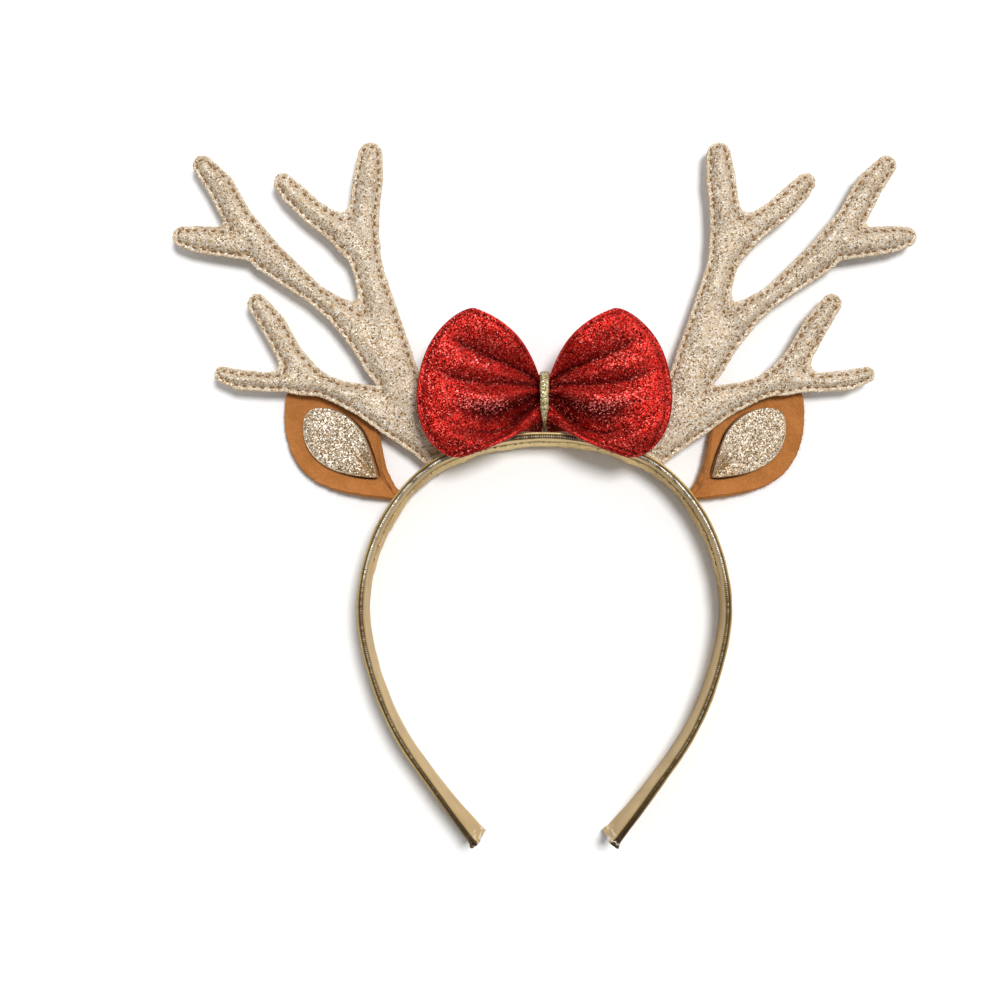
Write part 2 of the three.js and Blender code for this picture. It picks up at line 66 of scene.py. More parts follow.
# Band: outer front edge from the top middle to an end; lean is how far the back edge lies inside it
BAND_DEPTH = 15
BAND_THICKNESS = 2.4
BAND_ROWS = [
    # x, y, lean
    (0, 21, 1), (19.5, 18.5, 1), (37.7, 11.3, 0.8), (50.3, -1.3, 0.5), (58.5, -17.6, 0.4),
    (61.8, -37.1, 0.3), (58.7, -56.6, 0.1), (50.3, -78, 0.1), (35.9, -99.4, 0.4), (23.6, -115.9, 2),
]
# Section of the cover: inward from the outer face, height, and how strongly the ribs show there
BAND_SECTION = [
    (0.6, 0.0, 0), (0.25, 0.08, 0), (0.06, 0.3, 0), (0.0, 0.7, 0), (0.0, 3.5, 0), (0.0, 7.5, 0),
    (0.0, 11.5, 0), (0.0, 14.0, 0), (0.03, 14.5, 0.1), (0.14, 14.8, 0.3), (0.34, 14.92, 0.3),
    (0.54, 14.84, 0.3), (0.68, 14.62, 0.1), (0.78, 14.34, 0), (0.9, 14.34, 0), (0.98, 14.56, 0.3),
    (1.1, 14.8, 0.8), (1.26, 14.96, 1), (1.44, 15.0, 1), (1.62, 14.95, 1), (1.78, 14.78, 0.8),
    (1.9, 14.62, 0.3), (2.04, 14.55, 0), (2.18, 14.44, 0), (2.3, 14.2, 0), (2.37, 13.8, 0),
    (2.4, 13.3, 0), (2.4, 10.5, 0), (2.4, 7.5, 0), (2.4, 4.5, 0), (2.4, 2.0, 0), (2.4, 0.7, 0),
    (2.34, 0.3, 0), (2.15, 0.08, 0), (1.8, 0.0, 0),
]
# The front edge, from this height up, has an outer roll, a groove and a ribbed bead
BAND_FRONT = 14
BAND_ROLL_TO = 0.85
# Where the groove gets painted shade, and where the bead gets a painted highlight
BAND_GROOVE = {"at": 0.84, "width": 0.15}
BAND_BEAD = {"at": 1.46, "width": 0.42, "from": 0.7, "to": 2.2}
BAND_RIB_PITCH = 0.75
BAND_RIB_HEIGHT = 0.06
BAND_RIB_SAMPLES = 5
# The bead is smooth and keeps its painted highlight beside the ears; below them, under the bow and most
# towards the ends painted shade darkens it
BAND_SMOOTH = {"amount": 0.6, "at": 58, "width": 15}
BAND_SHADE = {"from_top": 76, "full": 94, "share": 0.8, "end": 70, "roll_end": 42, "under_bow": 34}
BAND_DARK = {"end": 0.9, "roll": 0.9, "between_ribs": 0.85}
# How far the ribs' crests keep a painted highlight where the bead has painted shade, and the length in which
# that fades to the ends
BAND_CRESTS = {"arms": 0.7, "under_bow": 0.9, "fade": 62}
# Painted light: the outer roll is paler under the bow
BAND_ROLL_LIT = 0.85
# Dark patches in the bead between the bow and the ears
BAND_PATCHES = {"amount": 0.85, "at": 44, "width": 13}
# The ends swell a little and are rounded off
BAND_NUB = {"amount": 0.8, "at": 0, "width": 1.3}
BAND_END_ROUND = 0.4
# Bright flecks where the cover frays at the ends
BAND_FRAY = {"length": 5, "strength": 0.95}

# Lining: a strip glued inside the top of the band, thicker over the glued roots
LINING_THICKNESS = 0.6
LINING_BACK = 1.2
LINING_FRONT = 9
LINING_HALF_LENGTH = 88
# Bulges over the roots, then puckers in the strip: along, width, height
LINING_BULGES = [(0, 9, 0.5), (36, 9, 0.7), (62, 7, 0.6), (14, 4, 0.45), (30, 3, 0.4), (47, 4, 0.35)]
LINING_STEPS = (620, 15)
LINING_GLUE = 0.05
LINING_END = 8
# Painted light: the inside of the band is brighter at the top
LINING_LIT = {"half_length": 46, "strength": 0.7, "fade": 20}
LINING_STITCH = {"pitch": 1.7, "length": 1.0, "radius": 0.22, "lift": 0.34, "below_edge": 0.5, "share": 0.7}

# Antlers: two layers of cloth, padded inside the seam
ANTLER_ROOT = (35.5, 12.3, 7.4)
ANTLER_DROOP = 1.6
ANTLER_REACH = 127
ANTLER_EDGE_HALF = 0.8
ANTLER_PAD_HALF = 2.3
ANTLER_PAD_RISE = 1.5
# Distances in from the cut edge: a ridge, the line of the stitches, and the painted shade along it
ANTLER_RIDGE = {"amount": 0.1, "at": 0.6, "width": 0.45}
ANTLER_SEAM_INSET = 1.4
ANTLER_SEAM = {"amount": 0.16, "at": ANTLER_SEAM_INSET, "width": 0.4}
ANTLER_SEAM_SHADE = {"at": ANTLER_SEAM_INSET, "width": 0.55}
ANTLER_GRID = 0.45
ANTLER_BOX = ((24, 4), (130, 123))
ANTLER_LEAST_Z = 0.02
# Each tine: the rounding of its crotch, then sections from root to tip, x, y and half width
ANTLER_TINES = {
    "stem": (0, [
        (35.4, 12.3, 4.2), (41.9, 21.5, 7), (46.6, 31.6, 7.7), (49.3, 41, 6.9),
        (53.2, 55.7, 5.8), (56.2, 65.9, 5.3), (58.6, 74.2, 4.9), (60.9, 82.6, 5.3),
    ]),
    "top": (2.8, [(60.7, 84.6, 4.9), (60, 98.5, 4.8), (59, 106.3, 4.8), (58.3, 114.2, 3.9)]),
    "top_side": (7, [(66.5, 87.2, 4.6), (77.8, 95.2, 4), (84.5, 101.5, 3.8), (87.4, 104.8, 3.1)]),
    "outer": (7, [
        (55.3, 45.9, 5.4), (60.8, 52.9, 5), (68.2, 61.2, 4.4), (76.7, 67.3, 3.3), (87.6, 76, 4.7),
        (93.1, 80.4, 5.4), (102.6, 92.6, 4.7), (108.8, 104, 4.5), (114.4, 110.6, 3.3),
    ]),
    "outer_side": (3.5, [(101.9, 84.2, 4.9), (110.2, 85.2, 4.7), (116.7, 86, 4.3), (121.1, 86.7, 3.3)]),
    "lower": (1.2, [
        (43.4, 22.4, 6.9), (50.3, 27.2, 7.3), (58.9, 31.4, 5.6), (67.7, 34.3, 3.9), (72.8, 36.3, 3.7),
        (79.4, 39.5, 4.3), (85.5, 47.7, 4.1), (90.7, 57, 4.1), (96, 64.2, 3.2),
    ]),
    "lower_side": (6, [(81.7, 38.7, 3.8), (92.1, 37.9, 3.1), (102.1, 38.8, 3.3), (107.6, 40.5, 2.6)]),
}
# The cut edge, from the front cloth to the back cloth: outward, and height as a share of the half thickness
ANTLER_RIM = [
    (0.1, 0.8), (0.14, 0.5), (0.03, 0.3), (-0.2, 0.15),
    (-0.2, -0.15), (0.03, -0.3), (0.14, -0.5), (0.1, -0.8),
]
STITCH_PITCH = 3.0
STITCH_LENGTH = 1.5
STITCH_RADIUS = 0.38
STITCH_RINGS = 6
STITCH_SIDES = 6
STITCH_ARCH = {"rise": 0.22, "sink": 0.5, "taper": 0.75, "least_z": 0.06}
STITCH_DIMPLE = {"amount": 0.3, "at": 0, "width": 1.15, "reach": 4.2}
STITCH_CLEAR_OF_BAND = 2.2
# The grid that finds the line of the stitches, and the fewest points in a loop of it
STITCH_GRID = 0.8
STITCH_LEAST_LOOP = 20

# Ears: felt leaves, pinched at the root; inner is the side towards the bow
EAR_ROOT = (48.7, -0.3, 3.6)
EAR_DIRECTION = np.array((0.735, 0.678)) / math.hypot(0.735, 0.678)
EAR_LENGTH = 51.6
EAR_FROM = 0.02
EAR_TO = 0.995
EAR_HALF_WIDTH = {"inner": 15.2, "outer": 15.6}
EAR_TAPER = {"inner": 1.25, "outer": 0.8}
EAR_WIDEST = {"inner": 1.35, "outer": 1.16}
EAR_ROOT_HALF = 1
EAR_FELT = 2
EAR_LIE_Z = 2.6
EAR_LEAST_Z = 0.05
EAR_FOLD_ANGLE = {"inner": 56, "outer": 22}
EAR_FOLD_FADES = {"inner": 0.44, "outer": 0.4}
EAR_STEPS = (130, 150)
EAR_CREASE = {"deep": 0.6, "width": 0.5, "fades_at": 0.2}
EAR_GAP = {"deep": 0.8, "width": 0.45, "out": 0.3}
# Where the gap shows: way across, side, where along the inner ear it ends, and in what length it fades
EAR_GAP_SIDES = [(1, "inner", 0.85, 0.4), (-1, "outer", 0.42, 0.3)]
EAR_FIBRES = 1500
EAR_FIBRES_ON_EDGE = 0.6
EAR_FIBRE_LENGTH = (0.35, 0.95)
EAR_FIBRE_RADII = (0.03, 0.028, 0.024, 0.014)

# Inner ears: glitter teardrops that lift off the felt at the point
INNER_EAR_FROM = 0.185
INNER_EAR_TO = 0.815
INNER_EAR_HALF = {"inner": 7.9, "outer": 9.6}
INNER_EAR_WIDEST = 1.36
INNER_EAR_TAPER = 0.57
INNER_EAR_CLOTH = 1
INNER_EAR_LIFT = 0.7
# Folds near the point: depth, place across at the point, lean along the length, width
INNER_EAR_FOLDS = [(0.55, 0, 6.4, 0.55), (0.45, -0.8, 2, 0.5)]
INNER_EAR_STEPS = (90, 60)

# Bow: doubled cloth gathered at the neck
BOW_WALL = 2.2
BOW_NECK = {"half_length": 1.9, "top": 39.8, "bottom": 25.6, "z": 15.2}
BOW_TOP_EDGE = ((8, 57.6), (26.9, 62.1))
BOW_BOTTOM_EDGE = ((9.9, 17.4), (33.2, 11))
BOW_LENGTH = 38
BOW_RIM_BULGE = {"reach": 10.9, "gather": 1.3}
BOW_RIM_FULLNESS = {"top": 2.3, "bottom": 2.2}
BOW_CORNER = {"round": 0.13, "squareness": 6}
BOW_LOBE_LIFT = 7.2
BOW_RIM_DROP = {"end": 1.8, "sides": 1.08}
# The foot hangs from the bottom edge to just above the band
BOW_FOOT = {"steps": 14, "lip": 0.3, "hem_y": 21.4, "hem_curve": 0.006, "slope": 0.8}
# How much of the foot there is behind the binding, and where it reaches its full length
BOW_FOOT_INSIDE = {"share": 0.45, "from_x": 0.66, "to_x": 0.92}
BOW_FOLDS = [
    # across at the neck, the middle and the rim; depth at the neck and the rim; half widths above and below
    (0.65, 0.44, 0.73, 2.4, 0.5, 0.28, 0.17),
    (0.44, 0.03, 0.24, 2.4, 0.7, 0.28, 0.17),
    (-0.29, -0.81, -0.25, 3.2, 0.3, 0.45, 0.13),
]
# How much deeper the folds are halfway out
BOW_FOLD_MIDDLE = 2
# Painted shade on the flanks above the folds
BOW_FOLD_SHADE = [
    # fold, how dark, how high above the fold, how far it spreads above and below that, how far out
    (0, 0.62, 0, 0.14, 0.03, 1.0),
    (1, 0.68, 0, 0.14, 0.03, 1.0),
    (2, 0.95, 0.36, 0.18, 0.24, 0.86),
    (2, 1.0, 0.03, 0.3, 0.12, 0.55),
]
# The shade is stronger at the neck than at the rim
BOW_SHADE_SCALE = (1.4, 0.75)
# The lower corner of each lobe is darker too
BOW_CORNER_SHADE = {"strength": 0.4, "below": -0.35, "out": 0.45}
# The sharp crease at the bottom of each fold: its depth and width, and how wide its painted shade line is at
# the neck and further out
BOW_CREASE = {"deep": 0.55, "width": 0.045, "dark_at_neck": 0.13, "dark": 0.03}
# Painted glints on the flakes above each fold: share of flakes, height above the fold, width, out, reach
BOW_GLINTS = [(0.08, 0.25, 0.13, 0.62, 0.2), (0.12, 0.3, 0.09, 0.74, 0.2), (0.34, 0.45, 0.13, 0.54, 0.2)]
BOW_GATHERS = [
    # across, depth, width, share of the lobe that it reaches
    (0.86, 0.5, 0.05, 0.35),
    (0.48, 0.55, 0.05, 0.3),
    (0.1, 0.6, 0.06, 0.34),
    (-0.12, 0.5, 0.05, 0.28),
    (-0.7, 0.5, 0.06, 0.3),
]
BOW_LOBE_STEPS = 92
BOW_NECK_STEPS = 8
BOW_STEPS_ACROSS = 150
# Distances in from the edge: the groove of the seam and the painted shade along it
BOW_SEAM = {"amount": 0.26, "at": 1.2, "width": 0.42}
BOW_SEAM_SHADE = {"at": 1.2, "width": 0.3}

# Binding: a strip round the bow's neck
BINDING_CLOTH = 0.9
BINDING_HALF_WIDTH = {"top": 1.45, "bottom": 0.6}
BINDING_MIDDLE = {"y": 31.2, "z": 13.9}
BINDING_HALF = {"y": 9.4, "z": 5.4}
BINDING_SQUARENESS = {"low_front": 1.6, "rest": 2.8}
BINDING_STEPS = 180
# Painted shade: the binding is darker below this height, where it turns down behind the bow
BINDING_DARK_BELOW = 25.2
BINDING_SECTION = [
    # across, out
    (-1, 0), (-1, 0.45), (-0.9, 0.7), (-0.7, 0.86), (-0.35, 0.97), (0, 1), (0.35, 0.97),
    (0.7, 0.86), (0.9, 0.7), (1, 0.45), (1, 0), (0.5, 0.04), (-0.5, 0.04),
]


def lerp(a, b, share):
    return a + (b - a) * share


def smooth(value, low, high):
    share = np.clip((value - low) / (high - low), 0, 1)
    return share * share * (3 - 2 * share)


def bell(value):
    return np.exp(-value * value)


# A bump with a place, a width and, unless it is 1, an amount
def near(value, spot):
    return spot.get("amount", 1) * bell((value - spot["at"]) / spot["width"])


# 1 where a value is short of a limit, falling to 0 at the limit
def short_of(value, limit, fade=None):
    return smooth(limit - value, 0, fade or limit)


def unit(vectors):
    return vectors / np.maximum(np.linalg.norm(vectors, axis=-1, keepdims=True), 1e-9)


def places(x, y, z):
    return np.stack(np.broadcast_arrays(x, y, z), -1)


# How far along a line each of its points lies
def running(line):
    return np.concatenate([[0], np.cumsum(np.linalg.norm(np.diff(line, axis=0), axis=1))])


# Smooth seeded unevenness with a mean of 0 and a spread of about 1, for surfaces and lines
def ripple(seed, wavelength, waves=28):
    rng = np.random.default_rng(seed)
    turn = rng.uniform(0, 2 * math.pi, waves)
    start = rng.uniform(0, 2 * math.pi, waves)
    number = 2 * math.pi / (wavelength * rng.uniform(0.65, 1.6, waves))

    def at(x, y=0.0):
        total = 0.0
        for k, a, s in zip(number, turn, start):
            total = total + np.cos(k * (x * math.cos(a) + y * math.sin(a)) + s)
        return total * math.sqrt(2 / waves)

    return at


def turned(faces):
    return [face[::-1] for face in faces]


def placed(name, data, location=(0, 0, 0), rotation=(0, 0, 0)):
    piece = bpy.data.objects.new(name, data)
    piece.location = location
    piece.rotation_euler = rotation
    bpy.context.scene.collection.objects.link(piece)
    return piece


# A Blender object from points in millimetres; mirrored makes the left one of a pair
def make(name, points, faces, material, mirrored=False):
    spots = (np.reshape(points, (-1, 3)) - (0, MIDDLE_Y, 0)) * MM
    if mirrored:
        spots[:, 0] *= -1
        faces = turned(faces)
    mesh = bpy.data.meshes.new(name)
    mesh.from_pydata(spots.tolist(), [], faces)
    mesh.validate()
    mesh.materials.append(material)
    mesh.shade_smooth()
    piece = placed(name, mesh)
    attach(piece, "root")
    return piece


# A number at each point, for a material to read
def paint(piece, name, values):
    attribute = piece.data.attributes.new(name, "FLOAT", "POINT")
    attribute.data.foreach_set("value", np.asarray(values, np.float32).ravel())


# Numbers for the front of a cloth, or for its front and back, and one number for the points that are left
def paint_cloth(piece, name, values, rest=0.0, sides=2):
    left = len(piece.data.vertices) - sides * values.size
    paint(piece, name, np.concatenate([values.ravel()] * sides + [np.full(left, rest)]))


# Quads between the rows of a grid of points
def grid_faces(rows, columns, start=0, around=False):
    i, j = np.meshgrid(np.arange(rows - 1), np.arange(columns if around else columns - 1), indexing="ij")
    k = (j + 1) % columns
    faces = np.stack([i * columns + j, (i + 1) * columns + j, (i + 1) * columns + k, i * columns + k], -1)
    return (faces.reshape(-1, 4) + start).tolist()


# Quads round a row of rings, and a face at each end
def tube_faces(rings, sides, start=0):
    end = start + (rings - 1) * sides
    caps = [list(range(start, start + sides)), list(range(end, end + sides))[::-1]]
    return grid_faces(rings, sides, start, around=True) + caps


# Degrees round the edge of a cloth, from its front to its back
EDGE_ANGLES = (60, 22, -22, -60)


# Closed cloth from a grid of middle points: front, back, and a rounded edge all round
def shell(middle, way, half, bulge):
    rows, columns = middle.shape[:2]
    size = rows * columns
    points = [(middle + side * way * half[..., None]).reshape(-1, 3) for side in (1, -1)]
    faces = grid_faces(rows, columns) + turned(grid_faces(rows, columns, size))
    edge = [(i, 0) for i in range(rows)]
    edge += [(rows - 1, j) for j in range(1, columns)]
    edge += [(i, columns - 1) for i in range(rows - 2, -1, -1)]
    edge += [(0, j) for j in range(columns - 2, 0, -1)]
    i, j = np.array(edge).T
    outward = unit(middle[i, j] - middle[np.clip(i, 1, rows - 2), np.clip(j, 1, columns - 2)])
    reach = half[i, j][:, None]
    rings = [i * columns + j]
    for k, angle in enumerate(EDGE_ANGLES):
        turn = math.radians(angle)
        ring = middle[i, j] + outward * reach * bulge * math.cos(turn)
        points.append(ring + way[i, j] * reach * math.sin(turn))
        rings.append(2 * size + k * len(edge) + np.arange(len(edge)))
    rings.append(size + i * columns + j)
    for above, below in zip(rings[:-1], rings[1:]):
        faces += np.stack([np.roll(above, -1), np.roll(below, -1), below, above], -1).tolist()
    return np.concatenate(points), faces


# Round threads: paths is tubes x rings x 3, radii one number for each ring
def tubes(paths, radii, sides):
    count, rings = paths.shape[:2]
    way = unit(np.gradient(paths, axis=1))
    across = unit(np.cross(way, (0.03, 0.02, 1.0)))
    lift = np.cross(across, way)
    angle = 2 * math.pi * np.arange(sides)[:, None] / sides
    ring = np.cos(angle) * across[:, :, None] + np.sin(angle) * lift[:, :, None]
    points = paths[:, :, None] + np.broadcast_to(radii, (count, rings))[..., None, None] * ring
    faces = []
    for tube in range(count):
        faces += turned(tube_faces(rings, sides, tube * rings * sides))
    return points.reshape(-1, 3), faces


# Colours are written as they look on screen
def colour(red, green, blue):
    parts = np.array((red, green, blue)) / 255
    return tuple(np.where(parts <= 0.04045, parts / 12.92, ((parts + 0.055) / 1.055) ** 2.4)) + (1.0,)


# The nodes of a material or a room, and the short forms used to wire them
class Look:
    def __init__(self, owner):
        owner.use_nodes = True
        self.owner = owner
        self.tree = owner.node_tree

    def put(self, socket, value):
        if isinstance(value, bpy.types.NodeSocket):
            self.tree.links.new(value, socket)
        else:
            socket.default_value = value

    def node(self, kind, inputs=None, **settings):
        made = self.tree.nodes.new("ShaderNode" + kind)
        for key, value in settings.items():
            setattr(made, key, value)
        for key, value in (inputs or {}).items():
            self.put(made.inputs[key], value)
        return made

    def set(self, **values):
        for key, value in values.items():
            self.put(self.tree.nodes["Principled BSDF"].inputs[key.replace("_", " ")], value)

    def place(self):
        return self.node("TexCoord").outputs["Object"]

    def math(self, operation, a, b):
        return self.node("Math", {0: a, 1: b}, operation=operation).outputs[0]

    def vector(self, operation, a, b=(0, 0, 0), scale=1.0):
        return self.node("VectorMath", {0: a, 1: b, 3: scale}, operation=operation).outputs[0]

    def ramp(self, factor, stops):
        made = self.node("ValToRGB", {"Fac": factor})
        elements = made.color_ramp.elements
        while len(elements) < len(stops):
            elements.new(0.5)
        for element, (position, tone) in zip(elements, stops):
            element.position = position
            element.color = colour(*tone)
        return made.outputs["Color"]

    def mix(self, factor, a, b, blend="MIX"):
        return self.node("Mix", {0: factor, 6: a, 7: b}, data_type="RGBA", blend_type=blend).outputs[2]

    def spread(self, value, low, high, to_low, to_high):
        names = ("Value", "From Min", "From Max", "To Min", "To Max")
        return self.node("MapRange", dict(zip(names, (value, low, high, to_low, to_high)))).outputs["Result"]

    def noise(self, size, detail=2.0, rough=0.5):
        values = {"Vector": self.place(), "Scale": 1 / (size * MM), "Detail": detail, "Roughness": rough}
        return self.node("TexNoise", values).outputs["Fac"]

    def attribute(self, name):
        return self.node("Attribute", attribute_name=name).outputs["Fac"]

    def bump(self, height, strength, distance):
        values = {"Height": height, "Strength": strength, "Distance": distance * MM}
        return self.node("Bump", values).outputs["Normal"]


def new_look(name):
    return Look(bpy.data.materials.new(name))


# Glitter cloth is faintly patchy, its gaps are a share of a flake, and washes spare the brightest flakes
GLITTER_PATCH = {"size": 14, "dark": 0.9, "light": 1.1}
FLAKE_GAP = 0.12
SPARED_FLAKES = {"from": 0.88, "all": 0.96, "washed": 0.3}


# Cloth covered in flat flakes that each lean their own way.
# washes are painted attributes, each with the tone that it mixes in and how strongly; glint is the tone of
# painted glints.
def glitter(name, flake, tones, metallic, tilt, gap, washes, rough=(0.22, 0.55), shine=0.5, glint=None):
    look = new_look(name)
    cells = {"Vector": look.place(), "Scale": 1 / (flake * MM), "Randomness": 1.0}
    flakes = look.node("TexVoronoi", cells, feature="F1").outputs["Color"]
    tint, gloss, chance = look.node("SeparateColor", {"Color": flakes}).outputs
    patches = look.noise(GLITTER_PATCH["size"], 3.0)
    patches = look.spread(patches, 0.3, 0.7, GLITTER_PATCH["dark"], GLITTER_PATCH["light"])
    shade = look.node("CombineColor", {0: patches, 1: patches, 2: patches}).outputs[0]
    tone = look.mix(1.0, look.ramp(tint, tones), shade, "MULTIPLY")
    edges = look.node("TexVoronoi", cells, feature="DISTANCE_TO_EDGE").outputs["Distance"]
    tone = look.mix(look.spread(edges, 0.0, FLAKE_GAP, 1.0, 0.0), tone, colour(*gap))
    dull = look.spread(tint, SPARED_FLAKES["from"], SPARED_FLAKES["all"], 1.0, SPARED_FLAKES["washed"])
    for painted, wash, strength in washes:
        amount = look.math("MULTIPLY", look.attribute(painted), strength)
        tone = look.mix(look.math("MULTIPLY", amount, dull), tone, colour(*wash))
    if glint:
        lit = look.math("ADD", chance, look.attribute("glint"))
        tone = look.mix(look.spread(lit, 1.0, 1.03, 0.0, 1.0), tone, colour(*glint))
    lean = look.vector("SCALE", look.vector("SUBTRACT", flakes, (0.5, 0.5, 0.5)), scale=tilt)
    leaning = look.vector("ADD", look.node("NewGeometry").outputs["Normal"], lean)
    look.set(
        Base_Color=tone,
        Metallic=metallic,
        Roughness=look.spread(gloss, 0.0, 1.0, *rough),
        Specular_IOR_Level=shine,
        Normal=look.vector("NORMALIZE", leaning),
    )
    return look.owner


PALE_TONES = [
    (0.0, (88, 60, 36)), (0.09, (134, 103, 70)), (0.17, (206, 166, 106)), (0.27, (196, 176, 149)),
    (0.5, (216, 201, 179)), (0.85, (230, 218, 200)), (1.0, (255, 253, 247)),
]
COARSE_TONES = [
    (0.0, (84, 58, 30)), (0.2, (158, 126, 84)), (0.45, (200, 180, 152)), (0.8, (230, 216, 198)),
    (1.0, (255, 253, 246)),
]
RED_TONES = [
    (0.0, (28, 0, 0)), (0.14, (108, 6, 4)), (0.4, (209, 36, 27)), (0.86, (241, 61, 49)),
    (1.0, (255, 138, 126)),
]
BINDING_TONES = [(0.0, (112, 96, 50)), (0.3, (164, 149, 99)), (0.65, (202, 189, 142)), (1.0, (244, 238, 208))]
# The seam wash is painted shade along the seam's groove
PALE_WASHES = [("seam_shade", (150, 112, 66), 0.16), ("rim", (216, 190, 152), 0.5)]
# The inner ear's fold wash is a golden-brown tone with painted shade in the folds
COARSE_WASHES = [("rim", (214, 198, 172), 0.6), ("fold", (138, 102, 50), 0.9)]
# The binding's low wash is painted shade
BINDING_WASHES = [("low", (78, 48, 20), 0.85)]
# On the bow the seam, fold and foot washes are painted shade
RED_WASHES = [
    ("seam_shade", (84, 4, 4), 0.75), ("rim", (196, 44, 36), 0.6),
    ("fold", (36, 0, 0), 0.88), ("foot", (70, 16, 10), 0.9),
]

pale_glitter = glitter(
    "pale_glitter", 0.42, PALE_TONES, 0.1, 0.45, (168, 143, 111), PALE_WASHES, rough=(0.35, 0.65), shine=0.3
)
coarse_glitter = glitter("coarse_glitter", 0.36, COARSE_TONES, 0.3, 0.58, (140, 112, 72), COARSE_WASHES)
red_glitter = glitter(
    "red_glitter", 0.36, RED_TONES, 0.6, 0.6, (112, 5, 4), RED_WASHES,
    rough=(0.34, 0.64), shine=0.14, glint=(255, 122, 116),
)
binding_glitter = glitter("binding_glitter", 0.36, BINDING_TONES, 0.4, 0.7, (116, 100, 56), BINDING_WASHES)


def felt_material():
    look = new_look("brown_felt")
    broad = look.noise(7, 3.0)
    fine = look.noise(0.55, 4.0, 0.7)
    tone = look.mix(0.45, look.ramp(broad, FELT_TONES), look.ramp(fine, FLECK_TONES))
    tone = look.mix(look.math("MULTIPLY", look.attribute("crease"), 0.6), tone, colour(206, 152, 112))
    # Painted shadow in the gap along the inner ear's edge
    tone = look.mix(look.attribute("gap"), tone, colour(38, 21, 9))
    look.set(
        Base_Color=tone,
        Roughness=0.95,
        Sheen_Weight=0.25,
        Sheen_Roughness=0.5,
        Sheen_Tint=colour(236, 190, 140),
        Normal=look.bump(fine, 0.5, 0.25),
        Specular_IOR_Level=0.15,
    )
    return look.owner


# Painted light (lit), a painted highlight with bright frayed flecks, and painted shade with dark patches make
# the gold paler, whiter and darker
def gold_material(name, tones, rough, weave):
    look = new_look(name)
    cells = look.noise(weave, 2.0, 0.6)
    broad = look.math("MULTIPLY", look.noise(9, 2.0), 0.55)
    level = look.math("ADD", look.math("MULTIPLY", cells, 0.45), broad)
    highlight_and_fray = look.attribute("highlight_and_fray")
    tone = look.mix(look.attribute("lit"), look.ramp(level, tones), colour(255, 226, 158))
    tone = look.mix(look.math("MULTIPLY", highlight_and_fray, 0.8), tone, colour(246, 242, 232))
    tone = look.mix(look.attribute("shade_and_dark_patches"), tone, colour(46, 29, 12))
    satin = look.spread(cells, 0.3, 0.7, rough - 0.06, rough + 0.1)
    look.set(
        Base_Color=tone,
        Metallic=0.45,
        Roughness=look.math("SUBTRACT", satin, look.math("MULTIPLY", highlight_and_fray, 0.2)),
        Normal=look.bump(cells, 0.2, 0.1),
    )
    return look.owner


def thread_material(name, tones, rough, metallic=0.15, mottle=(0.4, 2.0)):
    look = new_look(name)
    look.set(Base_Color=look.ramp(look.noise(*mottle), tones), Roughness=rough, Metallic=metallic)
    return look.owner


GOLD_TONES = [(0.3, (160, 130, 72)), (0.5, (184, 153, 92)), (0.72, (202, 173, 112))]
LINING_TONES = [(0.3, (168, 137, 80)), (0.5, (198, 166, 106)), (0.72, (220, 190, 132))]
FELT_TONES = [(0.25, (154, 93, 42)), (0.5, (175, 110, 55)), (0.78, (193, 127, 69))]
FLECK_TONES = [(0.25, (144, 88, 41)), (0.5, (183, 118, 62)), (0.8, (208, 146, 87))]
FIBRE_TONES = [(0.3, (172, 108, 52)), (0.7, (208, 148, 88))]
STITCH_TONES = [(0.3, (112, 74, 34)), (0.7, (164, 118, 62))]
GLINT_TONES = [(0.35, (98, 74, 36)), (0.5, (214, 190, 140)), (0.65, (255, 250, 235))]
gold_cover = gold_material("gold_cover", GOLD_TONES, 0.4, 0.5)
gold_lining = gold_material("gold_lining", LINING_TONES, 0.42, 0.6)
brown_felt = felt_material()
felt_fibre = thread_material("felt_fibre", FIBRE_TONES, 0.9, 0.0, (1.5, 1.0))
brown_thread = thread_material("brown_thread", STITCH_TONES, 0.6)
gold_thread = thread_material("gold_thread", GLINT_TONES, 0.3)


# Band: the edge curve through the rows, and how far along it each place lies
def band_curve(samples=6000):
    half = np.array(BAND_ROWS, float)
    rows = np.concatenate([half[:0:-1] * (-1, 1, 1), half])
    knots = np.concatenate([[2 * rows[0] - rows[1]], rows, [2 * rows[-1] - rows[-2]]])
    t = np.linspace(0, len(rows) - 1, samples)
    span = np.minimum(t.astype(int), len(rows) - 2)
    t = (t - span)[:, None]
    p0, p1, p2, p3 = (knots[span + k] for k in range(4))
    steps = (p1 - p0, p2 - p1, p3 - p2)
    d0, d1, d2 = (np.sqrt(np.linalg.norm(step, axis=1))[:, None] for step in steps)
    from_way = ((p1 - p0) / d0 - (p2 - p0) / (d0 + d1) + (p2 - p1) / d1) * d1
    to_way = ((p2 - p1) / d1 - (p3 - p1) / (d1 + d2) + (p3 - p2) / d2) * d1
    bend = -3 * p1 + 3 * p2 - 2 * from_way - to_way
    twist = 2 * p1 - 2 * p2 + from_way + to_way
    line = p1 + from_way * t + bend * t**2 + twist * t**3
    return line, running(line)


BAND_LINE, BAND_RUN = band_curve()
BAND_LENGTH = BAND_RUN[-1]
BAND_WAY = unit(np.gradient(BAND_LINE[:, :2], axis=0))


# Places on the band: share of its length, distance in from the outer face, height
def band_point(share, inward, z):
    run = np.asarray(share) * BAND_LENGTH
    x, y, lean = (np.interp(run, BAND_RUN, BAND_LINE[:, k]) for k in range(3))
    way_x, way_y = (np.interp(run, BAND_RUN, BAND_WAY[:, k]) for k in range(2))
    offset = inward + lean * (1 - z / BAND_DEPTH)
    return places(x + way_y * offset, y - way_x * offset, z)


def inside_lit(from_top):
    return LINING_LIT["strength"] * short_of(from_top, LINING_LIT["half_length"], LINING_LIT["fade"])


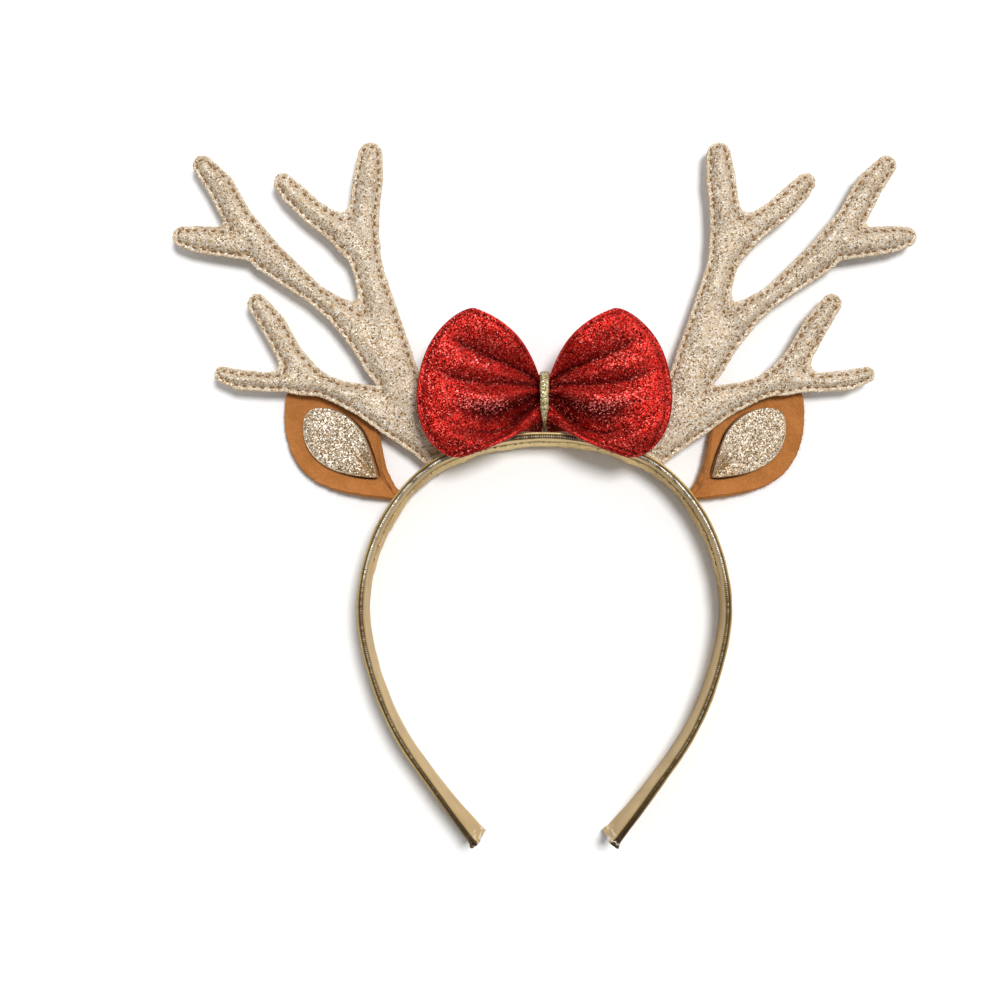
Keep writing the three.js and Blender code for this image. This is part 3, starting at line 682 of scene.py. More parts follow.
def build_band():
    inward, height, ribbed = np.array(BAND_SECTION).T
    rings = int(BAND_LENGTH / BAND_RIB_PITCH) * BAND_RIB_SAMPLES
    share = np.linspace(0, 1, rings)[:, None]
    run = share * BAND_LENGTH
    from_top = np.abs(run - BAND_LENGTH / 2)
    to_end = BAND_LENGTH / 2 - from_top
    rib = np.cos(2 * math.pi * np.arange(rings) / BAND_RIB_SAMPLES)[:, None]
    rib = rib * np.clip(0.8 + 0.4 * ripple(41, 6)(run), 0.3, 1.4)
    rib = rib * (1 - near(from_top, BAND_SMOOTH))
    rib = rib * BAND_RIB_HEIGHT + 0.02 * ripple(42, 1.7)(run)

    # Painted shade, dark patches and painted highlights on the front edge, and bright flecks where it frays
    on_front = height > BAND_FRONT
    on_bead = smooth(inward, BAND_BEAD["from"], BAND_ROLL_TO)
    on_bead = on_bead * short_of(inward, BAND_BEAD["to"], 0.3) * on_front
    on_roll = short_of(inward, BAND_ROLL_TO, 0.15) * on_front
    under_bow = short_of(from_top, BAND_SHADE["under_bow"], 8)
    shaded = BAND_SHADE["share"] * smooth(from_top, BAND_SHADE["from_top"], BAND_SHADE["full"])
    shaded = shaded + BAND_SHADE["share"] * under_bow
    shaded = shaded + BAND_DARK["end"] * (1 - BAND_SHADE["share"]) * short_of(to_end, BAND_SHADE["end"])
    # Painted highlight: the ribs' crests stay bright inside the painted shade
    bright = lerp(BAND_CRESTS["arms"], BAND_CRESTS["under_bow"], under_bow)
    bright = bright * smooth(to_end, 0, BAND_CRESTS["fade"])
    crest = np.clip(rib / BAND_RIB_HEIGHT, 0, 1) * ribbed * bright
    patches = near(from_top, BAND_PATCHES) * smooth(ripple(45, 5)(run, 4 * inward), 0.1, 0.9)
    flecks = BAND_FRAY["strength"] * short_of(to_end, BAND_FRAY["length"], 4)
    flecks = flecks * smooth(ripple(46, 1.3)(run, 2 * height), 0.5, 1.1)
    shade_and_dark_patches = near(inward, BAND_GROOVE) * on_front
    for dark in (
        shaded * on_bead * (1 - crest),
        BAND_DARK["roll"] * short_of(to_end, BAND_SHADE["roll_end"]) * on_roll,
        patches * on_bead,
        BAND_DARK["between_ribs"] * (np.clip(-rib / BAND_RIB_HEIGHT, 0, 1) * ribbed),
    ):
        shade_and_dark_patches = np.maximum(shade_and_dark_patches, dark)
    shade_and_dark_patches = shade_and_dark_patches * (1 - flecks)
    # Painted highlight along the bead, with the bright frayed flecks
    highlight_and_fray = near(inward, BAND_BEAD) * on_front
    highlight_and_fray = np.maximum(highlight_and_fray * (1 - shaded * (1 - crest)), flecks)

    middle = BAND_THICKNESS / 2
    nub = near(to_end, BAND_NUB) * (1 + 0.5 * ripple(43, 2.2)(run, height))
    outward = np.clip((inward - middle) / middle, -1, 1)
    inward = inward + outward * (nub + 0.035 * ripple(44, 9)(run, height * 1.5))
    ends = ((BAND_END_ROUND - to_end) / BAND_END_ROUND).clip(0)
    ends = np.sqrt(np.clip(1 - ends**2, 0.02, 1))
    inward = middle + (inward - middle) * (0.7 + 0.3 * ends)
    z = height + rib * ribbed
    z = np.maximum(BAND_DEPTH / 2 + (z - BAND_DEPTH / 2) * (0.95 + 0.05 * ends), 0)
    lit = inside_lit(from_top) * (inward > BAND_THICKNESS - 0.3)
    lit = np.maximum(lit, BAND_ROLL_LIT * under_bow * on_roll)
    piece = make("band_cover", band_point(share, inward, z), tube_faces(*z.shape), gold_cover)
    for name, values in (("shade_and_dark_patches", shade_and_dark_patches), ("highlight_and_fray", highlight_and_fray), ("lit", lit)):
        paint(piece, name, np.broadcast_to(values, z.shape))
    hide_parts("band")


def build_lining():
    steps, rows = LINING_STEPS
    along = np.linspace(-LINING_HALF_LENGTH, LINING_HALF_LENGTH, steps)[:, None]
    thick = LINING_THICKNESS
    for centre, width, height in LINING_BULGES:
        thick = thick + height * bell((np.abs(along) - centre) / width)
    thick = thick * smooth(LINING_HALF_LENGTH - np.abs(along), -1, LINING_END)
    outer = BAND_THICKNESS + LINING_GLUE
    high = np.linspace(0, 1, rows)[None, :]
    wavy = 0.35 * ripple(51, 11)(along) + 0.16 * ripple(52, 3)(along)
    height = lerp(LINING_BACK, LINING_FRONT, high) + wavy * smooth(high, 0.5, 1)
    taper = (1 - high**4) * np.sqrt(np.clip(1 - (1 - high) ** 8, 0.05, 1))
    crinkle = 0.1 * ripple(53, 4)(along, height)
    crinkle = crinkle + 0.1 * ripple(54, 1.4)(along, height) * bell((high - 0.8) / 0.15)
    inward = outer + 0.03 + np.maximum(thick + crinkle, 0.1) * taper
    share = 0.5 + along / BAND_LENGTH
    shown = band_point(share, inward, height)
    rings = np.concatenate([band_point(share, outer, height), shown[:, ::-1]], 1)
    faces = turned(tube_faces(*rings.shape[:2]))
    piece = make("band_lining_strip", rings, faces, gold_lining)
    paint(piece, "lit", np.broadcast_to(inside_lit(np.abs(along)), rings.shape[:2]))
    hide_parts("band_lining")


# Short stitches along the lining's front edge, some of them worn away, with tones from dark to white as
# painted glints
def build_lining_stitches():
    rng = np.random.default_rng(56)
    reach = LINING_HALF_LENGTH - LINING_END
    along = np.arange(-reach, reach, LINING_STITCH["pitch"])
    along = along[rng.random(len(along)) < LINING_STITCH["share"]]
    along = along + rng.normal(0, 0.2, len(along))
    length = LINING_STITCH["length"] * rng.uniform(0.6, 1.4, len(along))
    along = along[:, None] + length[:, None] * np.linspace(-0.5, 0.5, 4)
    height = LINING_FRONT - LINING_STITCH["below_edge"] + rng.normal(0, 0.3, (len(along), 1))
    paths = band_point(0.5 + along / BAND_LENGTH, BAND_THICKNESS + LINING_STITCH["lift"], height)
    points, faces = tubes(paths, np.array((0.6, 1, 1, 0.6)) * LINING_STITCH["radius"], 5)
    make("lining_stitches", points, faces, gold_thread)


# How far places lie inside the antler's outline, before the band cuts it
def antler_outline(x, y):
    depth = None
    for crotch, rows in ANTLER_TINES.values():
        tine = np.full(np.shape(x), -1e9)
        for (ax, ay, a_half), (bx, by, b_half) in zip(rows[:-1], rows[1:]):
            dx, dy = bx - ax, by - ay
            t = np.clip(((x - ax) * dx + (y - ay) * dy) / (dx * dx + dy * dy), 0, 1)
            away = np.hypot(x - ax - t * dx, y - ay - t * dy)
            tine = np.maximum(tine, lerp(a_half, b_half, t) - away)
        if depth is None:
            depth = tine
        else:
            share = np.maximum(crotch - np.abs(depth - tine), 0) / crotch
            depth = np.maximum(depth, tine) + share * share * crotch / 4
    return depth


# The stretch of the band's outer face near the antler's root
BAND_AT_ANTLER = band_point(np.linspace(0.5, 0.72, 90), -GAP, ANTLER_ROOT[2] + ANTLER_PAD_HALF)
BAND_AT_ANTLER_WAY = unit(np.gradient(BAND_AT_ANTLER[:, :2], axis=0))


def from_root(x, y):
    return np.hypot(x - ANTLER_ROOT[0], y - ANTLER_ROOT[1])


# How far places lie outside that stretch of the band, which counts only near the root
def clear_of_band(x, y, near_root=22):
    away = np.full(np.shape(x), 50.0)
    close = from_root(x, y) < near_root
    if not np.any(close):
        return away
    dx = x[close][:, None] - BAND_AT_ANTLER[:, 0]
    dy = y[close][:, None] - BAND_AT_ANTLER[:, 1]
    nearest = np.argmin(dx * dx + dy * dy, axis=1)
    row = np.arange(len(nearest))
    way = BAND_AT_ANTLER_WAY[nearest]
    away[close] = dy[row, nearest] * way[:, 0] - dx[row, nearest] * way[:, 1]
    return away


def antler_middle(x, y):
    reach = from_root(x, y) / ANTLER_REACH
    return ANTLER_ROOT[2] - ANTLER_DROOP * reach * reach


def slope(depth, x, y, probe=0.05):
    across = (depth(x + probe, y) - depth(x - probe, y)) / (2 * probe)
    up = (depth(x, y + probe) - depth(x, y - probe)) / (2 * probe)
    return np.stack([across, up])


# A flat grid trimmed to where depth is positive, with its outline on the zero line
def trimmed(depth, box, step):
    columns, rows = (np.arange(low, high + step, step) for low, high in zip(*box))
    spots = np.stack([part.ravel() for part in np.meshgrid(columns, rows)])
    inside = depth(*spots)
    close = np.abs(inside) < step * 0.34
    moved = spots[:, close]
    for _ in range(4):
        way = slope(depth, *moved)
        moved = moved - depth(*moved) * way / np.maximum((way**2).sum(0), 0.2)
    spots[:, close] = moved
    inside[close] = 0
    wide = len(columns)
    i, j = (part.ravel() for part in np.meshgrid(np.arange(wide - 1), np.arange(len(rows) - 1)))
    a = j * wide + i
    corners = np.stack([a, a + 1, a + wide, a + wide + 1], -1)
    odd = (i + j) % 2 == 1
    halves = ((odd, (0, 1, 2)), (odd, (1, 3, 2)), (~odd, (0, 1, 3)), (~odd, (0, 3, 2)))
    triangles = np.concatenate([corners[kind][:, order] for kind, order in halves])
    value = inside[triangles]
    whole = triangles[(value >= 0).all(1)]
    whole = whole[depth(*spots[:, whole].mean(2)) > 0]
    cut = triangles[(value < 0).any(1) & (value > 0).any(1)]
    pairs = np.concatenate([cut[:, (0, 1)], cut[:, (1, 2)], cut[:, (2, 0)]])
    pairs = np.unique(np.sort(pairs[inside[pairs].prod(1) < 0], axis=1), axis=0)
    low, high = np.where(inside[pairs[:, :1]] < 0, pairs[:, ::-1], pairs).T
    within, beyond = spots[:, low], spots[:, high]
    for _ in range(12):
        half = (within + beyond) / 2
        kept = depth(*half) > 0
        within, beyond = np.where(kept, half, within), np.where(kept, beyond, half)
    crossing = {tuple(pair): len(inside) + k for k, pair in enumerate(pairs.tolist())}
    spots = np.concatenate([spots, within], 1)
    inside = np.concatenate([inside, np.zeros(len(pairs))])
    kept_triangles = whole.tolist()
    for triangle in cut.tolist():
        kept = []
        for here, after in zip(triangle, triangle[1:] + triangle[:1]):
            if inside[here] >= 0:
                kept.append(here)
            if inside[here] * inside[after] < 0:
                kept.append(crossing[(min(here, after), max(here, after))])
        for k in range(1, len(kept) - 1):
            kept_triangles.append([kept[0], kept[k], kept[k + 1]])
    used, triangles = np.unique(np.array(kept_triangles), return_inverse=True)
    return *spots[:, used], inside[used], triangles.reshape(-1, 3)


# The directed edges round the outside of a set of triangles
def outside_edges(triangles):
    edges = np.concatenate([triangles[:, (0, 1)], triangles[:, (1, 2)], triangles[:, (2, 0)]])
    known = set(map(tuple, edges.tolist()))
    return [edge for edge in known if (edge[1], edge[0]) not in known]


# Evenly spaced places along the line that the stitches follow
def stitch_places():
    def from_seam(x, y):
        return antler_outline(x, y) - ANTLER_SEAM_INSET

    x, y, _, triangles = trimmed(from_seam, ANTLER_BOX, STITCH_GRID)
    after = dict(sorted(outside_edges(triangles)))
    rng = np.random.default_rng(61)
    stitches = []
    while after:
        loop = [min(after)]
        while loop[-1] in after:
            loop.append(after.pop(loop[-1]))
        if len(loop) < STITCH_LEAST_LOOP:
            continue
        line = np.stack([x[loop], y[loop]], -1)
        run = running(line)
        count = round(run[-1] / STITCH_PITCH)
        share = (np.arange(count) + 0.5 + rng.normal(0, 0.08, count)) / count * run[-1]
        length = STITCH_LENGTH * rng.uniform(0.75, 1.25, count)
        reach = np.linspace(-0.5, 0.5, STITCH_RINGS) * length[:, None]
        at = (share[:, None] + reach) % run[-1]
        stitches.append(np.stack([np.interp(at, run, line[:, k]) for k in range(2)], -1))
    stitches = np.concatenate(stitches)
    return stitches[clear_of_band(*stitches.mean(1).T) > STITCH_CLEAR_OF_BAND]


STITCHES = stitch_places()


def antler_half(x, y, depth):
    inside = np.maximum(depth - ANTLER_SEAM_INSET, 0)
    half = lerp(ANTLER_PAD_HALF, ANTLER_EDGE_HALF, np.exp(-inside / ANTLER_PAD_RISE))
    half = half + near(depth, ANTLER_RIDGE) - near(depth, ANTLER_SEAM)
    close = np.flatnonzero(depth < STITCH_DIMPLE["reach"])
    middle = STITCHES.mean(1)
    for part in np.array_split(close, max(1, len(close) // 4000)):
        dx = x[part][:, None] - middle[:, 0]
        dy = y[part][:, None] - middle[:, 1]
        nearest = np.sqrt((dx * dx + dy * dy).min(1))
        half[part] -= near(nearest, STITCH_DIMPLE)
    return half


def build_antler(side, mirrored, seed):
    ragged = ripple(seed, 1.6)
    fine = ripple(seed + 1, 0.8)

    def depth_at(x, y):
        rough = 0.055 * ragged(x, y) + 0.035 * fine(x, y)
        return np.minimum(antler_outline(x, y) + rough, clear_of_band(x, y))

    x, y, depth, triangles = trimmed(depth_at, ANTLER_BOX, ANTLER_GRID)
    half = antler_half(x, y, depth)
    middle = antler_middle(x, y)
    full = smooth(depth, 1.0, 4.0)
    points = []
    for k, way in enumerate((1, -1)):
        crease = 0.17 * ripple(seed + 2 + k, 12)(x, y) + 0.07 * ripple(seed + 4 + k, 5)(x, y)
        points.append(places(x, y, np.maximum(middle + way * half + crease * full, ANTLER_LEAST_Z)))
    count = len(x)
    edges = np.array(outside_edges(triangles))
    rim, ends = np.unique(edges, return_inverse=True)
    a, b = ends.reshape(-1, 2).T
    out_x, out_y = -unit(slope(depth_at, x[rim], y[rim]).T).T
    rings = [rim]
    for k, (out, level) in enumerate(ANTLER_RIM):
        z = np.maximum(middle[rim] + level * half[rim], ANTLER_LEAST_Z)
        points.append(places(x[rim] + out_x * out, y[rim] + out_y * out, z))
        rings.append(2 * count + k * len(rim) + np.arange(len(rim)))
    rings.append(rim + count)
    faces = triangles.tolist() + (triangles[:, ::-1] + count).tolist()
    for above, below in zip(rings[:-1], rings[1:]):
        faces += np.stack([above[b], above[a], below[a], below[b]], -1).tolist()
    piece = make(f"antler_{side}_pad", np.concatenate(points), faces, pale_glitter, mirrored)
    paint_cloth(piece, "rim", short_of(depth, 0.6, 0.45), rest=1.0)
    paint_cloth(piece, "seam_shade", near(depth, ANTLER_SEAM_SHADE))
    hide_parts(f"antler_{side}")
    build_stitches(side, mirrored)


def build_stitches(side, mirrored):
    x, y = (STITCHES[..., k].ravel() for k in range(2))
    half = antler_half(x, y, antler_outline(x, y)).reshape(STITCHES.shape[:2])
    middle = antler_middle(x, y).reshape(STITCHES.shape[:2])
    bent = np.abs(np.linspace(-1, 1, STITCH_RINGS)) ** 3
    arch = STITCH_ARCH["rise"] - STITCH_ARCH["sink"] * bent
    radii = STITCH_RADIUS * np.sqrt(np.clip(1 - STITCH_ARCH["taper"] * bent, 0.1, 1))
    paths = []
    for way in (1, -1):
        z = np.maximum(middle + way * (half + arch), STITCH_ARCH["least_z"] + radii)
        paths.append(np.concatenate([STITCHES, z[..., None]], -1))
    points, faces = tubes(np.concatenate(paths), radii, STITCH_SIDES)
    make(f"antler_{side}_stitches", points, faces, brown_thread, mirrored)


def ear_half(share, side):
    leaf = np.sin(math.pi * np.clip(share, 0, 1) ** EAR_WIDEST[side])
    return EAR_ROOT_HALF * (1 - share) ** 6 + EAR_HALF_WIDTH[side] * np.maximum(leaf, 0) ** EAR_TAPER[side]


def ear_fold(share, side):
    return EAR_FOLD_ANGLE[side] * np.maximum(1 - share / EAR_FOLD_FADES[side], 0)


# Places on the middle of the felt: share of the length, and distance across, plus towards the bow
def ear_point(share, across):
    toward = across > 0
    half = np.where(toward, ear_half(share, "inner"), ear_half(share, "outer"))
    angle = np.radians(np.where(toward, ear_fold(share, "inner"), ear_fold(share, "outer")))
    outward = np.minimum(np.abs(across) / np.maximum(half, 1e-6), 1)
    sideways = across * (1 - (1 - np.cos(angle)) * outward)
    raised = half * np.sin(angle) * outward**1.5
    along = share * EAR_LENGTH
    x = EAR_ROOT[0] + EAR_DIRECTION[0] * along - EAR_DIRECTION[1] * sideways
    y = EAR_ROOT[1] + EAR_DIRECTION[1] * along + EAR_DIRECTION[0] * sideways
    return places(x, y, lerp(EAR_ROOT[2], EAR_LIE_Z, smooth(share, 0, 0.3)) + raised)


def ear_normal(share, across):
    along = ear_point(share + 0.01, across) - ear_point(share - 0.01, across)
    sideways = ear_point(share, across + 0.1) - ear_point(share, across - 0.1)
    return unit(np.cross(along, sideways))


# How wide the inner ear is at a part of its length, as a share of its widest
def inner_ear_width(part):
    return np.sin(math.pi * np.clip(part, 0, 1) ** INNER_EAR_WIDEST) ** INNER_EAR_TAPER


# The gap in the felt along the inner ear's edge towards the bow, and under its point: a dip that the felt's
# colour fills with painted shadow
def ear_gap(share, across):
    part = (share - INNER_EAR_FROM) / (INNER_EAR_TO - INNER_EAR_FROM)
    wide = inner_ear_width(part)
    gap = 0.0
    for way, side, end, fade in EAR_GAP_SIDES:
        beside = bell((way * across - INNER_EAR_HALF[side] * wide - EAR_GAP["out"]) / EAR_GAP["width"])
        gap = np.maximum(gap, beside * short_of(part, end, fade))
    return gap * smooth(part, -0.02, 0.03)


def build_ear(side, mirrored, seed):
    rows, columns = EAR_STEPS
    share = lerp(EAR_FROM, EAR_TO, np.linspace(0, 1, rows)[:, None])
    place = np.linspace(0, 1, columns)[None, :]
    across = lerp(-ear_half(share, "outer"), ear_half(share, "inner"), place)
    across = across + 0.06 * ripple(seed, 3)(share * EAR_LENGTH, 9 * place) * smooth(share, 0.02, 0.1)
    middle = ear_point(share, across)
    way = ear_normal(share, across * 0.98)
    crease = bell(across / EAR_CREASE["width"]) * short_of(share, EAR_CREASE["fades_at"], 0.12)
    gap = ear_gap(share, across)
    dip = EAR_CREASE["deep"] * crease + EAR_GAP["deep"] * gap
    x, y = middle[..., 0], middle[..., 1]
    lumps = 0.09 * ripple(seed + 1, 6)(x, y) + 0.035 * ripple(seed + 2, 1.3)(x, y)
    middle = middle + way * (lumps - dip)[..., None]
    half = EAR_FELT / 2 + 0.03 * ripple(seed + 3, 2)(middle[..., 0], middle[..., 1])
    points, faces = shell(middle, way, half, bulge=0.35)
    points[:, 2] = np.maximum(points[:, 2], EAR_LEAST_Z)
    piece = make(f"ear_{side}_felt", points, faces, brown_felt, mirrored)
    paint_cloth(piece, "crease", crease, sides=1)
    paint_cloth(piece, "gap", gap, sides=1)
    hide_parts(f"ear_{side}")
    fibres = build_fibres(side, mirrored, seed + 5, middle, way)


# Loose fibres on the cut edge and the face of the felt
def build_fibres(side, mirrored, seed, middle, way):
    rows, columns = EAR_STEPS
    rng = np.random.default_rng(seed)
    i = rng.integers(4, rows - 2, EAR_FIBRES)
    on_edge = rng.random(EAR_FIBRES) < EAR_FIBRES_ON_EDGE
    edge_j = rng.choice((0, columns - 1), EAR_FIBRES)
    j = np.where(on_edge, edge_j, rng.integers(1, columns - 1, EAR_FIBRES))
    sideways = middle[i, j] - middle[i, np.clip(j, 1, columns - 2)]
    root = middle[i, j] + way[i, j] * np.where(on_edge, rng.uniform(-0.9, 0.9, EAR_FIBRES), 0.95)[:, None]
    point = np.where(on_edge[:, None], unit(sideways) + 0.3 * way[i, j], 0.45 * way[i, j])
    point = unit(point + rng.normal(0, 0.55, (EAR_FIBRES, 3)))
    length = rng.uniform(*EAR_FIBRE_LENGTH, EAR_FIBRES)[:, None, None]
    curl = rng.normal(0, 0.35, (EAR_FIBRES, 3))
    t = np.linspace(0, 1, 4)[None, :, None]
    paths = root[:, None, :] + length * (t * point[:, None, :] + t * t * curl[:, None, :])
    paths[..., 2] = np.maximum(paths[..., 2], EAR_LEAST_Z)
    points, faces = tubes(paths, EAR_FIBRE_RADII, 3)
    return make(f"ear_{side}_fibres", points, faces, felt_fibre, mirrored)


def build_inner_ear(side, mirrored, seed):
    rows, columns = INNER_EAR_STEPS
    part = np.linspace(0.012, 0.995, rows)[:, None]
    share = lerp(INNER_EAR_FROM, INNER_EAR_TO, part)
    place = np.linspace(0, 1, columns)[None, :]
    across = lerp(-INNER_EAR_HALF["outer"], INNER_EAR_HALF["inner"], place) * inner_ear_width(part)
    way = ear_normal(share, across)
    under = EAR_FELT / 2 + GAP + INNER_EAR_LIFT * (1 - part) ** 3
    middle = ear_point(share, across)
    puff = 0.25 * np.sqrt(np.clip(1 - (2 * place - 1) ** 4, 0, 1)) * smooth(part, 0.02, 0.2)
    wrinkle = 0.08 * ripple(seed, 4)(middle[..., 0], middle[..., 1])
    near_point = short_of(part, 0.42, 0.25)
    folds = 0.0
    for deep, at, lean, width in INNER_EAR_FOLDS:
        folds = folds + deep * bell((across - at - lean * part) / width)
    lift = puff + wrinkle * 0.6 - folds * near_point
    half = np.full(across.shape, INNER_EAR_CLOTH / 2)
    middle = middle + way * (under + INNER_EAR_CLOTH / 2 + np.maximum(lift, -0.15))[..., None]
    piece = make(f"inner_ear_{side}_cloth", *shell(middle, way, half, bulge=0.5), coarse_glitter, mirrored)
    rim = np.ones((rows, columns))
    rim[2:-2, 2:-2] = 0
    paint_cloth(piece, "rim", rim, rest=1.0)
    # A golden-brown tone near the point, with painted shade in its folds
    paint_cloth(piece, "fold", np.clip(0.6 + folds * 1.6, 0, 1) * near_point)
    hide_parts(f"inner_ear_{side}")


def bow_edge(neck_y, edge, out):
    start = (BOW_NECK["half_length"], neck_y)
    weights = (1 - out) ** 2, 2 * (1 - out) * out, out**2
    return [sum(w * p[k] for w, p in zip(weights, (start, *edge))) for k in range(2)]


# How far above each fold's line places on the bow lie
def from_folds(out, level):
    for neck, middle, rim, *_ in BOW_FOLDS:
        at = neck * (1 - out) * (1 - 2 * out) + 4 * middle * out * (1 - out) + rim * out * (2 * out - 1)
        yield level - at


# Places on the bow's middle: out from the neck to the rim, and across from the bottom edge to the top
def bow_point(share, level):
    corner = 1 - np.sqrt(np.maximum(1 - np.abs(level) ** BOW_CORNER["squareness"], 0))
    out = share * (1 - BOW_CORNER["round"] * corner * share**3)
    top = bow_edge(BOW_NECK["top"], BOW_TOP_EDGE, out)
    bottom = bow_edge(BOW_NECK["bottom"], BOW_BOTTOM_EDGE, out)
    x, y = (lerp(low, high, (level + 1) / 2) for low, high in zip(bottom, top))
    fullness = np.where(level > 0, BOW_RIM_FULLNESS["top"], BOW_RIM_FULLNESS["bottom"])
    x = x + BOW_RIM_BULGE["reach"] * out ** BOW_RIM_BULGE["gather"] * (1 - np.abs(level) ** fullness)
    z = BOW_NECK["z"] + BOW_LOBE_LIFT * smooth(out, 0, 0.5)
    z = z - BOW_RIM_DROP["end"] * out**6 - BOW_RIM_DROP["sides"] * level**4
    for above_fold, (*_, deep_neck, deep_rim, above, below) in zip(from_folds(out, level), BOW_FOLDS):
        deep = lerp(deep_neck, deep_rim, out) * (1 + BOW_FOLD_MIDDLE * np.sin(math.pi * out) ** 2)
        z = z - deep * bell(above_fold / np.where(above_fold > 0, above, below))
    return places(x, y, z)


# How much painted shade places on the bow get, in a fold's flank or crease or a lower corner, from 0 to 1
def fold_shade(out, level):
    low = short_of(level, BOW_CORNER_SHADE["below"], 0.5)
    shade = BOW_CORNER_SHADE["strength"] * low * smooth(out, BOW_CORNER_SHADE["out"], 0.8)
    line = lerp(BOW_CREASE["dark_at_neck"], BOW_CREASE["dark"], smooth(out, 0, 0.4))
    folds = list(from_folds(out, level))
    for fold, strength, middle, above, below, reach in BOW_FOLD_SHADE:
        above_fold = folds[fold]
        strength = np.minimum(strength * lerp(*BOW_SHADE_SCALE, out), 1)
        flank = strength * bell((above_fold - middle) / np.where(above_fold > middle, above, below))
        dark = np.maximum(flank, bell(above_fold / line))
        shade = np.maximum(shade, dark * short_of(out, reach, 0.25))
    return shade


# The share of the flakes that get a painted glint
def glint_share(out, level):
    total = 0.0
    for above_fold, (share, above, width, middle, reach) in zip(from_folds(out, level), BOW_GLINTS):
        total = total + share * bell((above_fold - above) / width) * bell((out - middle) / reach)
    return total


# The foot: places on the bottom edge moved down towards the band
def foot_point(edge, under):
    x, y, z = (edge[..., k] for k in range(3))
    hem = BOW_FOOT["hem_y"] - BOW_FOOT["hem_curve"] * x**2
    beside = smooth(np.abs(x), BOW_FOOT_INSIDE["from_x"], BOW_FOOT_INSIDE["to_x"])
    drop = lerp(BOW_FOOT_INSIDE["share"], 1, beside) * np.maximum(y - BOW_FOOT["lip"] - hem, 0)
    return places(x, y - under * (BOW_FOOT["lip"] + drop), z - under * drop * BOW_FOOT["slope"])


def build_bow():
    level = np.sin(np.linspace(-math.pi / 2, math.pi / 2, BOW_STEPS_ACROSS))[None, :]
    share = (np.arange(1, BOW_LOBE_STEPS + 1) / BOW_LOBE_STEPS)[:, None]
    neck = np.repeat(bow_point(np.zeros((1, 1)), level), BOW_NECK_STEPS, 0)
    neck[:, :, 0] = (np.arange(1, BOW_NECK_STEPS + 1) / BOW_NECK_STEPS * BOW_NECK["half_length"])[:, None]
    half = np.concatenate([neck, bow_point(share, level)])
    middle = np.concatenate([half[::-1] * (-1, 1, 1), neck[:1] * (0, 1, 1), half])
    out = np.concatenate([np.zeros((BOW_NECK_STEPS, 1)), share])
    out = np.concatenate([out[::-1], [[0]], out])
    x, y = middle[..., 0], middle[..., 1]
    half_height = np.ptp(y, axis=1)[:, None] / 2
    to_edge = np.minimum((1 - np.abs(level)) * half_height, (1 - out) * BOW_LENGTH)
    loose = smooth(out, 0.05, 0.4) * (1 - 0.7 * smooth(out, 0.85, 1)) * smooth(to_edge, 0.5, 3)
    waves = 0.14 * ripple(81, 15)(np.abs(x), y) + 0.03 * ripple(82, 5)(x, y)
    gathers = 0.0
    for at, deep, width, reach in BOW_GATHERS:
        pleat = bell((level - at * (1 - 0.2 * out)) / width)
        gathers = gathers + deep * pleat * short_of(out, reach)
    for above_fold in from_folds(out, level):
        crease = BOW_CREASE["deep"] * np.exp(-np.abs(above_fold) / BOW_CREASE["width"])
        gathers = gathers + crease * smooth(out, 0.02, 0.15) * short_of(out, 1, 0.25)
    middle[..., 2] += waves * loose - gathers
    under = np.linspace(1, 0, BOW_FOOT["steps"], endpoint=False)[None, :]
    middle = np.concatenate([foot_point(middle[:, :1], under), middle], 1)

    # Numbers on the lobes and neck, with others on the foot
    def with_foot(values, foot=0 * under):
        return np.concatenate([0 * out + foot, values], 1)

    to_edge = with_foot(to_edge)
    wall = BOW_WALL / 2 * (0.78 + 0.22 * smooth(to_edge, 0, 0.7))
    off_neck = smooth(out, 0.1, 0.3)
    wall = wall - near(to_edge, BOW_SEAM) * off_neck
    points, faces = shell(middle, np.zeros(middle.shape) + (0, 0, 1), wall, bulge=0.25)
    piece = make("bow_cloth", points, turned(faces), red_glitter)
    paint_cloth(piece, "seam_shade", near(to_edge, BOW_SEAM_SHADE) * off_neck)
    paint_cloth(piece, "rim", short_of(to_edge, 0.5, 0.4) * smooth(out, 0.05, 0.2), rest=1.0)
    # Painted shade on the foot, under the lobes
    paint_cloth(piece, "foot", with_foot(np.zeros(x.shape), smooth(under, 0.05, 0.4)))
    paint_cloth(piece, "fold", with_foot(fold_shade(out, level)))
    paint_cloth(piece, "glint", with_foot(glint_share(out, level)))
    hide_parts("bow")


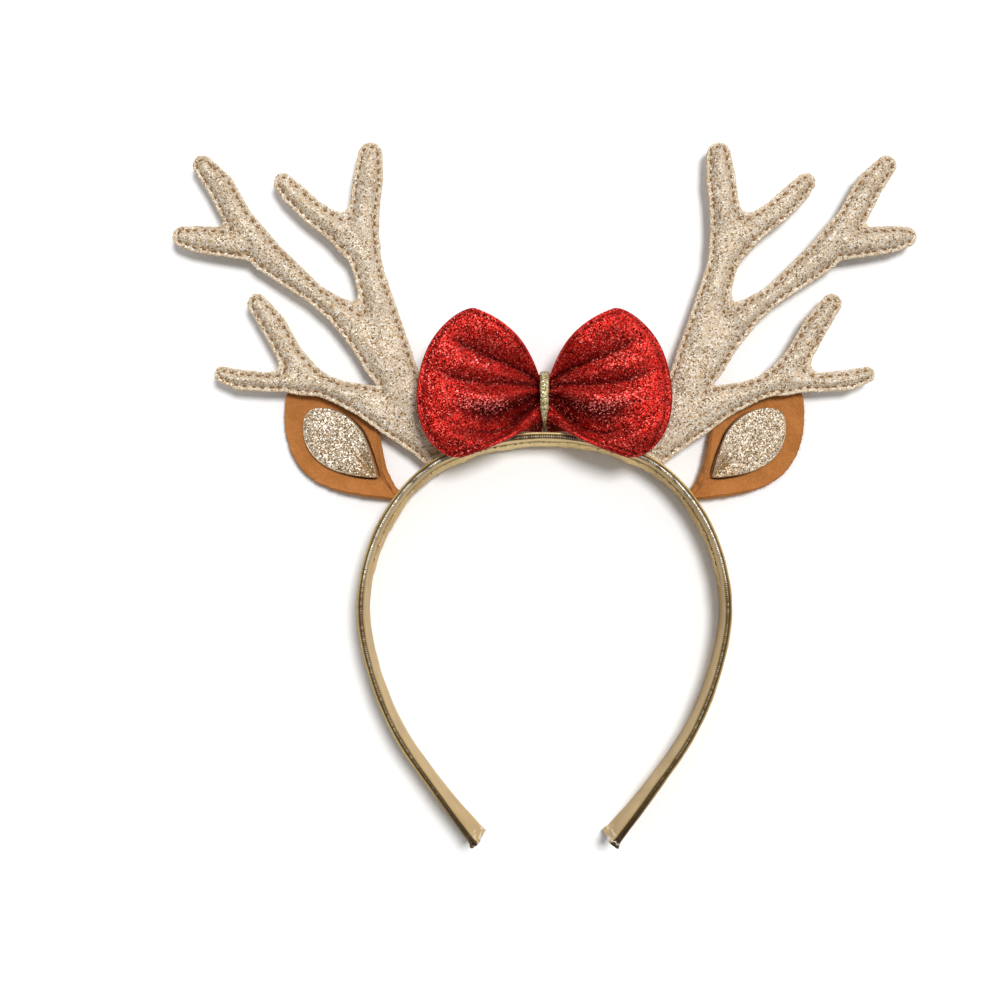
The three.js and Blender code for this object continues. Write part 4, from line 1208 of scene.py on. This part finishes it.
def build_binding():
    turn = 2 * math.pi * np.arange(BINDING_STEPS)[:, None] / BINDING_STEPS
    low_front = (np.cos(turn) < 0) & (np.sin(turn) > 0)
    power = 2 / np.where(low_front, BINDING_SQUARENESS["low_front"], BINDING_SQUARENESS["rest"])
    high, deep = (np.sign(part) * np.abs(part) ** power for part in (np.cos(turn), np.sin(turn)))
    wide = lerp(BINDING_HALF_WIDTH["bottom"], BINDING_HALF_WIDTH["top"], smooth(high, -0.8, -0.2))
    across, out = np.array(BINDING_SECTION).T
    wide = wide * (1 + 0.05 * ripple(91, 3)(BINDING_HALF["y"] * high, 5 * np.sin(turn)))
    out = out + 0.05 * ripple(92, 2)(12 * turn, across * 3)
    step = BINDING_CLOTH * out - BINDING_CLOTH / 2
    y = BINDING_MIDDLE["y"] + (BINDING_HALF["y"] + step) * high
    z = BINDING_MIDDLE["z"] + (BINDING_HALF["z"] + step) * deep
    count = len(BINDING_SECTION)
    faces = np.array(grid_faces(BINDING_STEPS + 1, count, around=True)) % (BINDING_STEPS * count)
    piece = make("bow_binding_strip", places(across * wide, y, z), faces.tolist(), binding_glitter)
    # Painted shade low on the binding
    paint(piece, "low", short_of(y, BINDING_DARK_BELOW, 2))
    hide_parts("bow_binding")


build_band()
build_lining()
build_lining_stitches()
for side, mirrored, seed in (("right", False, 100), ("left", True, 200)):
    build_antler(side, mirrored, seed)
    build_ear(side, mirrored, seed + 20)
    build_inner_ear(side, mirrored, seed + 40)
build_binding()
build_bow()


def build_stage():
    half, low = FLOOR["half_side"], FLOOR["z"]
    corners = [(-half, -half, low), (half, -half, low), (half, half, low), (-half, half, low)]
    mesh = bpy.data.meshes.new("floor")
    mesh.from_pydata(corners, [], [(0, 1, 2, 3)])
    look = new_look("floor_white")
    look.set(Base_Color=FLOOR_WHITE, Roughness=1.0, Specular_IOR_Level=0.0)
    mesh.materials.append(look.owner)
    floor = placed("floor", mesh)
    lamp = bpy.data.lights.new("key", "SUN")
    lamp.energy = KEY_STRENGTH
    lamp.angle = math.radians(KEY_SPREAD)
    placed("key", lamp, (0, 0, 1), (math.radians(KEY_TILT), 0, math.radians(KEY_TURN + 90)))
    room = Look(bpy.data.worlds.new("room"))
    background = room.tree.nodes["Background"].inputs
    background["Color"].default_value = (1, 1, 1, 1)
    ways = room.node("SeparateXYZ", {0: room.node("TexCoord").outputs["Generated"]}).outputs
    level = room.spread(ways["Y"], -1, 1, ROOM_STRENGTH["low"], ROOM_STRENGTH["high"])
    room.put(background["Strength"], level)
    bpy.context.scene.world = room.owner
    camera = bpy.data.cameras.new("camera")
    camera.lens = CAMERA_LENS
    camera.sensor_width = CAMERA_SENSOR
    camera.shift_x = CAMERA_SHIFT_X
    camera.clip_start, camera.clip_end = CAMERA_CLIP
    bpy.context.scene.camera = placed("camera", camera, (0, CAMERA_Y * MM, CAMERA_HEIGHT * MM))
    bpy.context.scene.view_settings.view_transform = "Standard"


build_stage()
